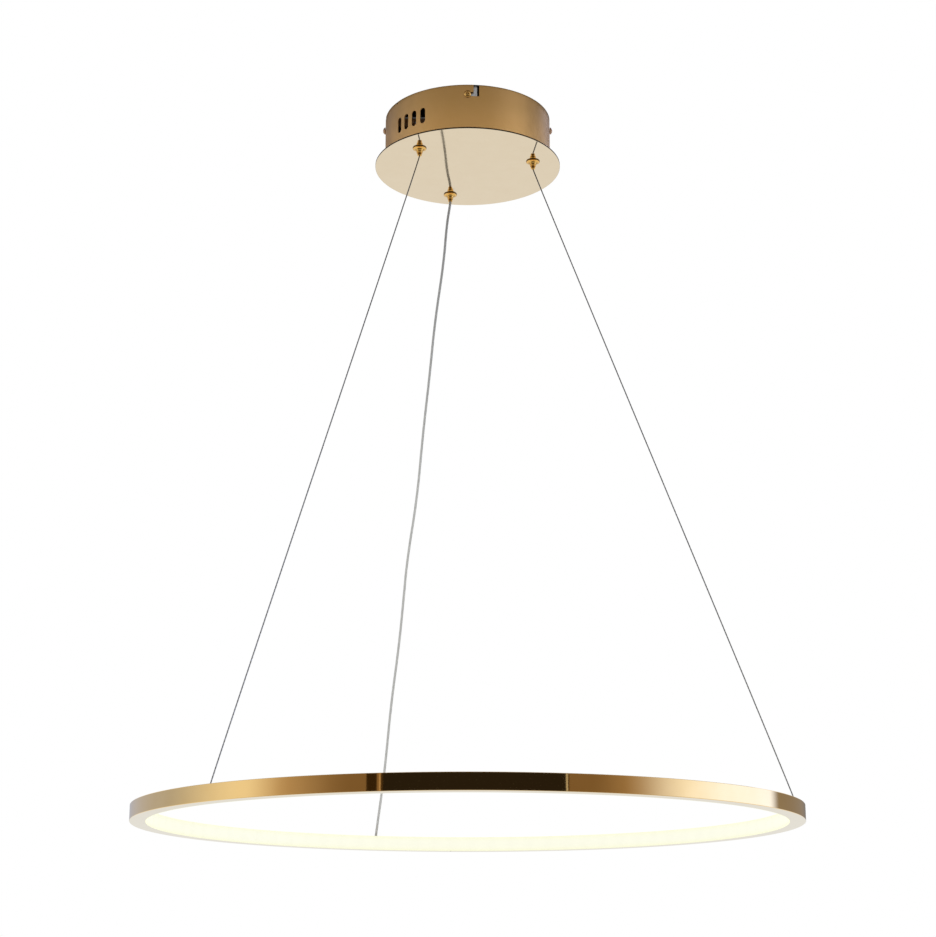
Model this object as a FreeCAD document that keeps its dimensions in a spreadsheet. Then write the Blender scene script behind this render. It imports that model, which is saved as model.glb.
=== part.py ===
"""Ring pendant light, built as its maker would: a ceiling bracket, a twist-off canopy with three
cable grippers and an LED driver, two steel cables and a power cord, and a lit ring.

All sizes are millimetres. The origin is on the ceiling plane at the middle of the bracket, +Z is up
and the front of the light faces -Y. An azimuth is an angle about Z from the front towards +X.
"""
import FreeCAD, Part

import math
import os

import Sketcher

SAME = 0.001  # two lengths closer than this are the same

DIMENSIONS = {
    # from the ceiling down to the underside of the ring
    "overall_drop": 692,
    # lit ring
    "ring_diameter": 600,
    "ring_width": 15,
    "ring_height": 14,
    "ring_wall": 1.2,
    "ring_edge_radius": 0.4,
    "rib_setback": 1.0,
    "rib_width": 0.8,
    "rib_height": 1.2,
    "diffuser_face": 1.0,
    "diffuser_tongue": 0.8,
    "diffuser_gap": 0.1,
    "strip_width": 8,
    "strip_thickness": 0.3,
    "chip_count": 90,
    "chip_length": 5.0,
    "chip_width": 3.0,
    "chip_height": 0.8,
    "joint_plate_width": 6,
    "joint_plate_thickness": 3,
    "joint_plate_angle": 12,
    "joint_screw_radius": 1.5,
    # where the ring hangs
    "pattern_azimuth": -44.5,
    "cord_entry_offset": 3.5,
    "anchor_neck_radius": 2.0,
    "anchor_flange_radius": 3.2,
    "anchor_length": 5,
    "anchor_pocket_radius": 1.9,
    "anchor_pocket_depth": 3.6,
    "cable_ball_radius": 1.7,
    "cord_bush_radius": 3.2,
    "cord_bush_flange_radius": 4.2,
    "cord_bush_flange_thickness": 1.5,
    "cord_clamp_radius": 3.0,
    "cord_clamp_height": 5,
    "core_radius": 0.5,
    "core_spacing": 2.0,
    # canopy
    "ceiling_gap": 1.0,
    "canopy_height": 50,
    "plate_diameter": 182,
    "plate_thickness": 1.5,
    "plate_edge_radius": 0.5,
    "drum_diameter": 162.6,
    "drum_wall": 1.0,
    "drum_flange_width": 6,
    "slot_entry_width": 5.4,
    "slot_leg_height": 4.4,
    "bayonet_angle": 5.9,
    "vent_count": 4,
    "vent_pitch_angle": 7.35,
    "vent_first_azimuth": -54.0,
    "vent_width": 5.2,
    "vent_length": 15.7,
    "vent_middle_drop": 26.2,
    "rim_notch_azimuth": -57.6,
    "rim_notch_width": 3.6,
    "rim_notch_depth": 1.6,
    # ceiling bracket and its screws
    "bracket_thickness": 1.5,
    "bracket_arm_width": 18,
    "bracket_clearance": 0.8,
    "bend_radius": 2.5,
    "hub_radius": 16,
    "tab_length": 16,
    "fixing_spacing": 100,
    "fixing_hole_radius": 2.75,
    "entry_hole_radius": 7.0,
    "entry_bush_radius": 4.5,
    "entry_bush_flange": 1.5,
    "bracket_nut_width": 7,
    "bracket_nut_thickness": 2.4,
    "earth_screw_offset": 30,
    "earth_screw_radius": 2.0,
    "earth_head_radius": 4.0,
    "earth_head_height": 2.4,
    "side_screw_drop": 9.7,
    "side_screw_radius": 2.0,
    "side_screw_length": 8,
    "side_head_radius": 3.5,
    "side_head_height": 2.4,
    "side_head_gap": 0.3,
    "side_head_edge": 0.5,
    "side_recess_radius": 1.6,
    "side_recess_width": 0.8,
    "side_recess_depth": 1.2,
    "thread_clearance": 0.05,
    # cable grippers
    "gripper_inset": 14.3,
    "gripper_flange_radius": 6.7,
    "gripper_flange_edge": 0.8,
    "gripper_neck_radius": 2.9,
    "gripper_neck_drop": 5.2,
    "gripper_thread_radius": 4.0,
    "gripper_stem": 18,
    "gripper_nut_width": 12,
    "gripper_nut_thickness": 3.5,
    "gripper_cap_thickness": 2.0,
    "plunger_radius": 2.1,
    "plunger_drop": 8,
    "plunger_head_radius": 2.45,
    "plunger_head_height": 0.6,
    "plunger_head_lift": 3.0,
    "plunger_chamfer": 0.5,
    "running_clearance": 0.05,
    "chamber_radius": 3.0,
    "cone_start": 1.0,
    "cone_height": 7,
    "ball_track_radius": 2.6,
    "spring_wall": 0.4,
    # cables and cord
    "cable_radius": 0.6,
    "cord_radius": 1.25,
    "line_clearance": 0.1,
    "line_stub": 2.4,
    "tail_rise": 10,
    "tail_step": 16,
    "lead_rise": 15,
    "lead_entry_rise": 1,
    # driver and terminal block
    "driver_length": 90,
    "driver_width": 40,
    "driver_height": 26,
    "driver_wall": 1.5,
    "driver_ear_length": 9,
    "driver_ear_width": 12,
    "driver_ear_thickness": 2.5,
    "board_thickness": 1.6,
    "board_lift": 3,
    "board_margin": 0.5,
    "post_radius": 2,
    "transformer_size": 20,
    "transformer_height": 15,
    "capacitor_radius": 5,
    "capacitor_height": 16,
    "stud_radius": 1.5,
    "stud_height": 8,
    "stud_nut_width": 5.5,
    "stud_nut_thickness": 2.4,
    "terminal_gap": 10,
    "terminal_length": 26,
    "terminal_lug_length": 9,
    "terminal_depth": 16,
    "terminal_height": 14,
    "terminal_pitch": 8,
    "terminal_screw_radius": 1.6,
    "terminal_screw_depth": 3,
    "lead_radius": 1.0,
    "lead_lift": 5,
}

document = FreeCAD.newDocument("ring_pendant")
sheet = document.addObject("Spreadsheet::Sheet", "dims")
parts = {}

# places that several pieces share, written as expressions of the sheet
RIM_Z = "(-dims.ceiling_gap)"
PLATE_BOTTOM_Z = "(-dims.ceiling_gap - dims.canopy_height)"
PLATE_TOP_Z = f"({PLATE_BOTTOM_Z} + dims.plate_thickness)"
DRUM_RADIUS = "(dims.drum_diameter / 2)"
DRUM_INNER_RADIUS = f"({DRUM_RADIUS} - dims.drum_wall)"
RING_RADIUS = "(dims.ring_diameter / 2)"
RING_BOTTOM_Z = "(-dims.overall_drop)"
RING_TOP_Z = f"({RING_BOTTOM_Z} + dims.ring_height)"
RING_CEILING_Z = f"({RING_TOP_Z} - dims.ring_wall)"
ANCHOR_CIRCLE = f"({RING_RADIUS} - dims.ring_width / 2)"
STRIP_FACE_RADIUS = f"({RING_RADIUS} - dims.ring_wall - dims.strip_thickness)"
GRIPPER_CIRCLE = f"({DRUM_INNER_RADIUS} - dims.gripper_inset)"
GRIPPER_TOP_Z = f"({PLATE_BOTTOM_Z} + dims.gripper_stem)"
PLUNGER_TIP_Z = f"({PLATE_BOTTOM_Z} - dims.plunger_drop)"
SIDE_SCREW_Z = f"({RIM_Z} - dims.side_screw_drop)"
TAB_FACE = (
    f"sqrt(({DRUM_INNER_RADIUS} - dims.bracket_clearance)^2 - (dims.bracket_arm_width / 2)^2)"
)
DRIVER_TOP_Z = f"({PLATE_TOP_Z} + dims.driver_height)"
TERMINAL_Y = "(-dims.driver_width / 2 - dims.terminal_gap - dims.terminal_depth / 2)"
LEAD_Z = f"({PLATE_TOP_Z} + dims.lead_lift)"
EAR_HOLE_X = "(dims.driver_length / 2 + dims.driver_ear_length / 2)"
LINES = {
    "left": ("dims.pattern_azimuth", "dims.pattern_azimuth", "dims.cable_radius"),
    "right": ("(dims.pattern_azimuth + 120)", "(dims.pattern_azimuth + 120)", "dims.cable_radius"),
    "cord": (
        "(dims.pattern_azimuth - 120)",
        "(dims.pattern_azimuth - 120 + dims.cord_entry_offset)",
        "dims.cord_radius",
    ),
}
SIDES = {"front": 0, "right": 90, "back": 180, "left": 270}


def fill_sheet():
    """Write each driving dimension into the sheet, under its own alias."""
    for row, (alias, number) in enumerate(DIMENSIONS.items(), start=1):
        sheet.set(f"A{row}", alias.replace("_", " "))
        sheet.set(f"B{row}", str(number))
        sheet.setAlias(f"B{row}", alias)
    document.recompute()


def read(expression):
    """The number that an expression of the sheet gives."""
    return float(sheet.evalExpression(expression))


def bind(thing, **expressions):
    """Bind properties of an object to expressions of the sheet."""
    for name, expression in expressions.items():
        thing.setExpression(name.replace("__", "."), expression)
    return thing


def move_to(thing, x="0", y="0", z="0", turn="0"):
    """Bind an object's place, and its turn about Z, to expressions of the sheet."""
    thing.Placement.Rotation = FreeCAD.Rotation(FreeCAD.Vector(0, 0, 1), 1)
    thing.setExpression("Placement.Rotation.Angle", turn)
    return bind(thing, Placement__Base__x=x, Placement__Base__y=y, Placement__Base__z=z)


def polar(radius, azimuth):
    """The x and y expressions of a point on a circle at an azimuth."""
    return f"{radius} * sin({azimuth})", f"-{radius} * cos({azimuth})"


def keep(thing, node):
    """Name a finished sub-part and list it for writing."""
    thing.Label = node
    parts[node] = thing
    return thing


def origin_plane(body, role):
    """One of a body's own origin planes."""
    return next(plane for plane in body.Origin.OriginFeatures if plane.Role == role)


def sketch_on(body, role, name):
    """An empty sketch on one of a body's origin planes."""
    sketch = body.newObject("Sketcher::SketchObject", name)
    sketch.AttachmentSupport = [(origin_plane(body, role), "")]
    sketch.MapMode = "FlatFace"
    return sketch


def draw_outline(sketch, corners):
    """Draw a closed polygon whose corners are bound to pairs of expressions."""
    places = [(read(x), read(y)) for x, y in corners]
    first = sketch.GeometryCount
    count = len(corners)
    for index, start in enumerate(places):
        end = places[(index + 1) % count]
        line = Part.LineSegment(FreeCAD.Vector(*start, 0), FreeCAD.Vector(*end, 0))
        sketch.addGeometry(line, False)
    for index in range(count):
        following = first + (index + 1) % count
        sketch.addConstraint(Sketcher.Constraint("Coincident", first + index, 2, following, 1))
    for index, corner in enumerate(corners):
        for kind, expression, number in zip(("DistanceX", "DistanceY"), corner, places[index]):
            rule = Sketcher.Constraint(kind, -1, 1, first + index, 1, number)
            sketch.setExpression(f"Constraints[{sketch.addConstraint(rule)}]", expression)


def turned(name, corners, angle=None):
    """A body turned about Z from a section of (radius, height) expressions."""
    body = document.addObject("PartDesign::Body", name)
    sketch = sketch_on(body, "XZ_Plane", f"{name}_section")
    draw_outline(sketch, corners)
    turn = body.newObject("PartDesign::Revolution", f"{name}_turn")
    turn.Profile = sketch
    turn.ReferenceAxis = (sketch, ["V_Axis"])
    turn.Angle = 360
    if angle is not None:
        turn.Midplane = True
        turn.setExpression("Angle", angle)
    document.recompute()
    return body


def cylinder(name, radius, height, x="0", y="0", z="0"):
    """A Part cylinder whose sizes and place are bound."""
    solid = bind(document.addObject("Part::Cylinder", name), Radius=radius, Height=height)
    return move_to(solid, x, y, z)


def block(name, length, width, height, x="0", y="0", z="0"):
    """A Part box, centred on x and y and standing on z, whose sizes are bound."""
    solid = bind(document.addObject("Part::Box", name), Length=length, Width=width, Height=height)
    return move_to(solid, f"{x} - {length} / 2", f"{y} - {width} / 2", z)


def hexagon(name, width, height, x="0", y="0", z="0"):
    """A hexagonal prism given by its width across flats."""
    solid = document.addObject("Part::Prism", name)
    solid.Polygon = 6
    bind(solid, Circumradius=f"{width} / 2 / cos(30)", Height=height)
    return move_to(solid, x, y, z)


def cut(name, base, tools):
    """A base with several tools cut out of it."""
    tool = tools[0]
    if len(tools) > 1:
        tool = document.addObject("Part::MultiFuse", f"{name}_tools")
        tool.Shapes = tools
    result = document.addObject("Part::Cut", name)
    result.Base = base
    result.Tool = tool
    return result


def fuse(name, solids):
    """Several solids joined to one."""
    result = document.addObject("Part::MultiFuse", name)
    result.Shapes = solids
    return result


def group(name, solids):
    """Several separate solids of the same kind, as one sub-part."""
    result = document.addObject("Part::Compound", name)
    result.Links = solids
    return result


def rounded(name, base, radius, chosen):
    """A base with a round of the same radius on each edge that a test picks."""
    document.recompute()
    size = read(radius)
    result = document.addObject("Part::Fillet", name)
    result.Base = base
    result.Edges = [
        (index, size, size) for index, edge in enumerate(base.Shape.Edges, start=1) if chosen(edge)
    ]
    return result


def feature(name, shape):
    """A sub-part whose shape is worked out by Part's own functions."""
    result = document.addObject("Part::Feature", name)
    result.Shape = shape
    result.Placement = FreeCAD.Placement()
    return result


def tube(name, points, radius):
    """A round tube along straight runs that tangent arcs join.

    Each arc's radius is 0.45 of its shorter run over the tangent of half the turn.
    """
    edges = []
    start = points[0]
    length = 0.0
    tightest = math.inf
    for before, corner, after in zip(points, points[1:], points[2:]):
        incoming = corner - before
        outgoing = after - corner
        half_turn = incoming.getAngle(outgoing) / 2
        setback = 0.45 * min(incoming.Length, outgoing.Length)
        bend = setback / math.tan(half_turn)
        tightest = min(tightest, bend)
        arc_start = corner - incoming.normalize() * setback
        arc_end = corner + outgoing.normalize() * setback
        inward = (arc_start + arc_end) * 0.5 - corner
        reach = bend / math.cos(half_turn) - bend
        middle = corner + inward.normalize() * reach
        edges.append(Part.LineSegment(start, arc_start).toShape())
        edges.append(Part.Arc(arc_start, middle, arc_end).toShape())
        length += (arc_start - start).Length + bend * 2 * half_turn
        start = arc_end
    edges.append(Part.LineSegment(start, points[-1]).toShape())
    length += (points[-1] - start).Length
    section = Part.Wire(Part.Circle(points[0], points[1] - points[0], radius).toShape())
    solid = Part.Wire(edges).makePipeShell([section], True, False)
    ideal = math.pi * radius**2 * length
    print(f"{name}: length {length:.1f}, least bend radius {tightest:.1f},",
          f"volume / (section x length) {solid.Volume / ideal:.5f}")
    return feature(name, solid)


def spot(radius, azimuth, height):
    """A point on a circle at an azimuth, all three given as expressions."""
    x, y = polar(radius, azimuth)
    return FreeCAD.Vector(read(x), read(y), read(height))


def build_ring_profile():
    """The gold channel, open inwards, with ribs behind the diffuser and holes in its top wall."""
    inner = f"({RING_RADIUS} - dims.ring_width + dims.diffuser_face)"
    rib = f"({inner} + dims.rib_setback)"
    rib_back = f"({rib} + dims.rib_width)"
    outer_wall = f"({RING_RADIUS} - dims.ring_wall)"
    floor = f"({RING_BOTTOM_Z} + dims.ring_wall)"
    body = turned("ring_channel", [
        (inner, RING_BOTTOM_Z), (RING_RADIUS, RING_BOTTOM_Z), (RING_RADIUS, RING_TOP_Z),
        (inner, RING_TOP_Z), (inner, RING_CEILING_Z), (rib, RING_CEILING_Z),
        (rib, f"{RING_CEILING_Z} - dims.rib_height"),
        (rib_back, f"{RING_CEILING_Z} - dims.rib_height"), (rib_back, RING_CEILING_Z),
        (outer_wall, RING_CEILING_Z), (outer_wall, floor), (rib_back, floor),
        (rib_back, f"{floor} + dims.rib_height"), (rib, f"{floor} + dims.rib_height"),
        (rib, floor), (inner, floor),
    ])
    rims = [
        (read(RING_RADIUS), read(RING_BOTTOM_Z)), (read(RING_RADIUS), read(RING_TOP_Z)),
        (read(inner), read(RING_BOTTOM_Z)), (read(inner), read(RING_TOP_Z)),
    ]
    names = []
    for index, edge in enumerate(body.Shape.Edges, start=1):
        if isinstance(edge.Curve, Part.Circle):
            place = (edge.Curve.Radius, edge.Curve.Center.z)
            if any(math.dist(place, rim) < 0.01 for rim in rims):
                names.append(f"Edge{index}")
    channel = body.Tip
    rounding = body.newObject("PartDesign::Fillet", "ring_rounding")
    rounding.Base = (channel, names)
    rounding.setExpression("Radius", "dims.ring_edge_radius")
    document.recompute()
    holes = []
    for line, (_, azimuth, _) in LINES.items():
        radius = "dims.cord_bush_radius" if line == "cord" else "dims.anchor_neck_radius"
        x, y = polar(ANCHOR_CIRCLE, azimuth)
        z = f"{RING_CEILING_Z} - dims.ring_wall"
        holes.append(cylinder(f"ring_hole_{line}", radius, "3 * dims.ring_wall", x, y, z))
    keep(cut("ring_profile", body, holes), "ring_profile")


def build_ring_light():
    """The opal diffuser over the channel's mouth, and the LED strip with its chips behind it."""
    face = f"({RING_RADIUS} - dims.ring_width)"
    lip = f"({face} + dims.diffuser_face)"
    back = f"({lip} + dims.diffuser_tongue)"
    low = f"({RING_BOTTOM_Z} + dims.ring_wall + dims.diffuser_gap)"
    high = f"({RING_CEILING_Z} - dims.diffuser_gap)"
    diffuser = turned("diffuser", [
        (face, RING_BOTTOM_Z), (lip, RING_BOTTOM_Z), (lip, low), (back, low), (back, high),
        (lip, high), (lip, RING_TOP_Z), (face, RING_TOP_Z),
    ])
    keep(diffuser, "ring_diffuser")
    middle = f"({RING_BOTTOM_Z} + dims.ring_height / 2)"
    wall = f"({RING_RADIUS} - dims.ring_wall)"
    low = f"({middle} - dims.strip_width / 2)"
    high = f"({middle} + dims.strip_width / 2)"
    keep(turned("strip", [
        (STRIP_FACE_RADIUS, low), (wall, low), (wall, high), (STRIP_FACE_RADIUS, high),
    ]), "led_strip")
    length = read("dims.chip_length")
    width = read("dims.chip_width")
    height = read("dims.chip_height")
    seat = math.sqrt(read(STRIP_FACE_RADIUS) ** 2 - (length / 2) ** 2)
    corner = FreeCAD.Vector(-length / 2, -seat, read(middle) - width / 2)
    chip = Part.makeBox(length, height, width, corner)
    count = round(read("dims.chip_count"))
    chips = []
    for index in range(count):
        copy = chip.copy()
        copy.rotate(FreeCAD.Vector(), FreeCAD.Vector(0, 0, 1), 360 * (index + 0.5) / count)
        chips.append(copy)
    keep(feature("chips", Part.makeCompound(chips)), "led_chips")


def build_ring_joint():
    """The splice plate on the channel's floor, with grub screws, behind the closing joint."""
    azimuth = "(dims.pattern_azimuth - 120 - dims.joint_plate_angle)"
    floor = f"({RING_BOTTOM_Z} + dims.ring_wall)"
    inner = f"({ANCHOR_CIRCLE} - dims.joint_plate_width / 2)"
    outer = f"({ANCHOR_CIRCLE} + dims.joint_plate_width / 2)"
    top = f"({floor} + dims.joint_plate_thickness)"
    plate = turned("splice", [(inner, floor), (outer, floor), (outer, top), (inner, top)],
                   "dims.joint_plate_angle")
    move_to(plate, turn=f"{azimuth} - 90")
    holes = []
    screws = []
    for index, share in enumerate((-0.4, -0.15, 0.15, 0.4)):
        x, y = polar(ANCHOR_CIRCLE, f"({azimuth} + {share} * dims.joint_plate_angle)")
        for name, found in (("hole", holes), ("screw", screws)):
            found.append(cylinder(f"joint_{name}_{index}", "dims.joint_screw_radius",
                                  "dims.joint_plate_thickness", x, y, floor))
    keep(cut("joint_plate", plate, holes), "joint_plate")
    keep(group("joint_screws", screws), "joint_screws")


def build_anchor(line):
    """A flanged sleeve under the top wall, and the cable's end with its pressed ball inside."""
    _, azimuth, radius = LINES[line]
    x, y = polar(ANCHOR_CIRCLE, azimuth)
    bore = f"({radius} + dims.line_clearance)"
    low = "(-dims.ring_wall - dims.anchor_length)"
    roof = f"({low} + dims.anchor_pocket_depth)"
    sleeve = turned(f"anchor_{line}", [
        (bore, "0"), ("dims.anchor_neck_radius", "0"), ("dims.anchor_neck_radius", "-dims.ring_wall"),
        ("dims.anchor_flange_radius", "-dims.ring_wall"), ("dims.anchor_flange_radius", low),
        ("dims.anchor_pocket_radius", low), ("dims.anchor_pocket_radius", roof), (bore, roof),
    ])
    keep(move_to(sleeve, x, y, RING_TOP_Z), f"cable_anchor_{line}")
    ball = bind(document.addObject("Part::Sphere", f"ball_{line}"), Radius="dims.cable_ball_radius")
    sink = f"sqrt(dims.cable_ball_radius^2 - {bore}^2)"
    ball_z = f"({RING_TOP_Z} + {roof} - {sink})"
    move_to(ball, x, y, ball_z)
    stem = cylinder(f"cable_stem_{line}", radius, f"{RING_TOP_Z} - {ball_z}", x, y, ball_z)
    keep(fuse(f"end_{line}", [ball, stem]), f"cable_end_{line}")


def build_cord_entry():
    """The bush in the top wall, the clamp on the cord's end, and the two cores to the strip."""
    _, azimuth, radius = LINES["cord"]
    x, y = polar(ANCHOR_CIRCLE, azimuth)
    bore = f"({radius} + dims.running_clearance)"
    low = "(-dims.ring_wall - dims.cord_bush_flange_thickness)"
    bush = turned("bush", [
        (bore, "0"), ("dims.cord_bush_radius", "0"), ("dims.cord_bush_radius", "-dims.ring_wall"),
        ("dims.cord_bush_flange_radius", "-dims.ring_wall"), ("dims.cord_bush_flange_radius", low),
        (bore, low),
    ])
    keep(move_to(bush, x, y, RING_TOP_Z), "cord_grommet")
    clamp_top = f"({RING_TOP_Z} + {low})"
    clamp_bottom = f"({clamp_top} - dims.cord_clamp_height)"
    barrel = cylinder("clamp_barrel", "dims.cord_clamp_radius", "dims.cord_clamp_height",
                      x, y, clamp_bottom)
    stub = cylinder("clamp_stub", radius, f"{RING_TOP_Z} - {clamp_top}", x, y, clamp_top)
    clamp = keep(fuse("clamp", [barrel, stub]), "cord_clamp")
    document.recompute()
    centre = read(ANCHOR_CIRCLE)
    core = read("dims.core_radius")
    middle = read(f"{clamp_bottom} + dims.cord_clamp_height / 2")
    outward = spot("1", azimuth, "0")
    seat = math.sqrt(read(STRIP_FACE_RADIUS) ** 2 - core**2)
    lift = read("dims.core_spacing / 2")
    cores = []
    for height in (middle - lift, middle + lift):
        start = outward * centre + FreeCAD.Vector(0, 0, height)
        cores.append(Part.makeCylinder(core, seat - centre, start, outward).cut(clamp.Shape))
    keep(feature("cores", Part.makeCompound(cores)), "strip_leads")


def build_drum():
    """The canopy's wall, with an inner flange, four J-slots, two rows of vents and a rim notch."""
    flange = f"({DRUM_INNER_RADIUS} - dims.drum_flange_width)"
    flange_top = f"({PLATE_TOP_Z} + dims.drum_wall)"
    body = turned("drum_wall_body", [
        (flange, PLATE_TOP_Z), (DRUM_RADIUS, PLATE_TOP_Z), (DRUM_RADIUS, RIM_Z),
        (DRUM_INNER_RADIUS, RIM_Z), (DRUM_INNER_RADIUS, flange_top), (flange, flange_top),
    ])
    uncut = body.Shape.Volume
    sketch = sketch_on(body, "XZ_Plane", "slot_outline")
    half_leg = "dims.slot_leg_height / 2"
    low = f"({SIDE_SCREW_Z} - {half_leg})"
    high = f"({SIDE_SCREW_Z} + {half_leg})"
    open_end = f"({RIM_Z} + dims.drum_wall)"
    entry = f"{DRUM_RADIUS} * sin(dims.bayonet_angle)"
    left = f"({entry} - dims.slot_entry_width / 2)"
    right = f"({entry} + dims.slot_entry_width / 2)"
    draw_outline(sketch, [
        (f"-{half_leg}", low), (right, low), (right, open_end), (left, open_end), (left, high),
        (f"-{half_leg}", high),
    ])
    slot = body.newObject("PartDesign::Pocket", "slot")
    slot.Profile = sketch
    slot.Type = "ThroughAll"
    slot.Reversed = True
    document.recompute()
    if slot.Shape.Volume >= uncut:
        raise ValueError("the J-slot cuts nothing")
    slots = body.newObject("PartDesign::PolarPattern", "slots")
    slots.Originals = [slot]
    axis = next(line for line in body.Origin.OriginFeatures if line.Role == "Z_Axis")
    slots.Axis = (axis, [""])
    slots.Angle = 360
    slots.Occurrences = len(SIDES)
    body.Tip = slots
    document.recompute()
    cutters = []
    count = round(read("dims.vent_count"))
    middle = f"({RIM_Z} - dims.vent_middle_drop)"
    for side, start in enumerate(("0", "180")):
        for index in range(count):
            name = f"vent_{side}_{index}"
            straight = "(dims.vent_length - dims.vent_width)"
            slab = block(f"{name}_slab", "dims.vent_width", "4 * dims.drum_wall", straight,
                         "0", f"-{DRUM_RADIUS}", f"{middle} - {straight} / 2")
            ends = []
            for end, sign in (("low", "-"), ("high", "+")):
                rod = bind(document.addObject("Part::Cylinder", f"{name}_{end}"),
                           Radius="dims.vent_width / 2", Height="4 * dims.drum_wall",
                           Placement__Base__y=f"-{DRUM_RADIUS} + 2 * dims.drum_wall",
                           Placement__Base__z=f"{middle} {sign} {straight} / 2")
                rod.Placement.Rotation = FreeCAD.Rotation(FreeCAD.Vector(1, 0, 0), 90)
                ends.append(rod)
            azimuth = f"{start} + dims.vent_first_azimuth + {index} * dims.vent_pitch_angle"
            cutters.append(move_to(fuse(name, [slab, *ends]), turn=azimuth))
    notch = block("notch_slab", "dims.rim_notch_width", "4 * dims.drum_wall",
                  "2 * dims.rim_notch_depth", "0", f"-{DRUM_RADIUS}", f"{RIM_Z} - dims.rim_notch_depth")
    cutters.append(move_to(group("notch", [notch]), turn="dims.rim_notch_azimuth"))
    keep(cut("drum", body, cutters), "canopy_drum")


def build_plate():
    """The round cover plate with its rounded rim and the holes for the grippers."""
    disc = cylinder("disc", "dims.plate_diameter / 2", "dims.plate_thickness", z=PLATE_BOTTOM_Z)
    body = rounded("rounded_disc", disc, "dims.plate_edge_radius",
                   lambda edge: isinstance(edge.Curve, Part.Circle))
    holes = []
    for line, (azimuth, _, _) in LINES.items():
        x, y = polar(GRIPPER_CIRCLE, azimuth)
        holes.append(cylinder(f"plate_hole_{line}", "dims.gripper_thread_radius",
                              "3 * dims.plate_thickness", x, y,
                              f"{PLATE_BOTTOM_Z} - dims.plate_thickness"))
    keep(cut("plate", body, holes), "canopy_plate")


def build_gripper(line):
    """One cable gripper: flared body, release plunger, three balls and their spring."""
    azimuth, _, core = LINES[line]
    x, y = polar(GRIPPER_CIRCLE, azimuth)
    bore = f"({core} + dims.line_clearance)"
    guide = "(dims.plunger_radius + dims.running_clearance)"
    neck = "dims.gripper_neck_radius"
    flare = "(dims.gripper_flange_radius - dims.gripper_neck_radius)"
    deep = "(dims.gripper_neck_drop - dims.gripper_flange_edge)"
    body = turned(f"gripper_{line}", [
        (guide, "-dims.gripper_neck_drop"), (neck, "-dims.gripper_neck_drop"),
        (f"{neck} + 0.06 * {flare}", f"-dims.gripper_flange_edge - 0.62 * {deep}"),
        (f"{neck} + 0.20 * {flare}", f"-dims.gripper_flange_edge - 0.34 * {deep}"),
        (f"{neck} + 0.50 * {flare}", f"-dims.gripper_flange_edge - 0.11 * {deep}"),
        ("dims.gripper_flange_radius", "-dims.gripper_flange_edge"),
        ("dims.gripper_flange_radius", "0"), ("dims.gripper_thread_radius", "0"),
        ("dims.gripper_thread_radius", "dims.gripper_stem"), ("dims.chamber_radius", "dims.gripper_stem"),
        ("dims.chamber_radius", "dims.cone_start + dims.cone_height"), (guide, "dims.cone_start"),
    ])
    keep(move_to(body, x, y, PLATE_BOTTOM_Z), f"gripper_{line}_body")
    head_low = "(dims.cone_start + dims.plunger_head_lift)"
    head_top = f"({head_low} + dims.plunger_head_height)"
    tip = "(-dims.plunger_drop)"
    plunger = turned(f"plunger_{line}", [
        (bore, tip), ("dims.plunger_radius - dims.plunger_chamfer", tip),
        ("dims.plunger_radius", f"{tip} + dims.plunger_chamfer"), ("dims.plunger_radius", head_low),
        ("dims.plunger_head_radius", head_low), ("dims.plunger_head_radius", head_top), (bore, head_top),
    ])
    keep(move_to(plunger, x, y, PLATE_BOTTOM_Z), f"gripper_{line}_plunger")
    ball = f"((dims.ball_track_radius - {core}) / 2 - dims.running_clearance)"
    circle = f"({core} + dims.running_clearance + {ball})"
    balls = []
    for index in range(3):
        sphere = bind(document.addObject("Part::Sphere", f"ball_{line}_{index}"), Radius=ball)
        balls.append(move_to(sphere, f"{circle} * sin({index} * 120)", f"{circle} * cos({index} * 120)",
                             f"{head_top} + {ball}"))
    keep(move_to(group(f"balls_{line}", balls), x, y, PLATE_BOTTOM_Z), f"gripper_{line}_balls")
    low = f"({head_top} + 2 * {ball})"
    high = "(dims.gripper_stem - dims.gripper_cap_thickness)"
    inner = f"({circle} - dims.spring_wall / 2)"
    outer = f"({circle} + dims.spring_wall / 2)"
    spring = turned(f"spring_{line}", [(inner, low), (outer, low), (outer, high), (inner, high)])
    keep(move_to(spring, x, y, PLATE_BOTTOM_Z), f"gripper_{line}_spring")


def build_gripper_fixings():
    """The hex nuts above the plate and the plugs that close the grippers."""
    nuts = []
    caps = []
    for line, (azimuth, _, core) in LINES.items():
        x, y = polar(GRIPPER_CIRCLE, azimuth)
        nut = hexagon(f"nut_{line}", "dims.gripper_nut_width", "dims.gripper_nut_thickness",
                      x, y, PLATE_TOP_Z)
        thread = cylinder(f"nut_thread_{line}", "dims.gripper_thread_radius",
                          "dims.gripper_nut_thickness", x, y, PLATE_TOP_Z)
        nuts.append(cut(f"nut_cut_{line}", nut, [thread]))
        low = f"({GRIPPER_TOP_Z} - dims.gripper_cap_thickness)"
        plug = cylinder(f"cap_{line}", "dims.chamber_radius", "dims.gripper_cap_thickness", x, y, low)
        bore = cylinder(f"cap_bore_{line}", f"{core} + dims.line_clearance",
                        "dims.gripper_cap_thickness", x, y, low)
        caps.append(cut(f"cap_cut_{line}", plug, [bore]))
    keep(group("nuts", nuts), "gripper_nuts")
    keep(group("caps", caps), "gripper_caps")


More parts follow.
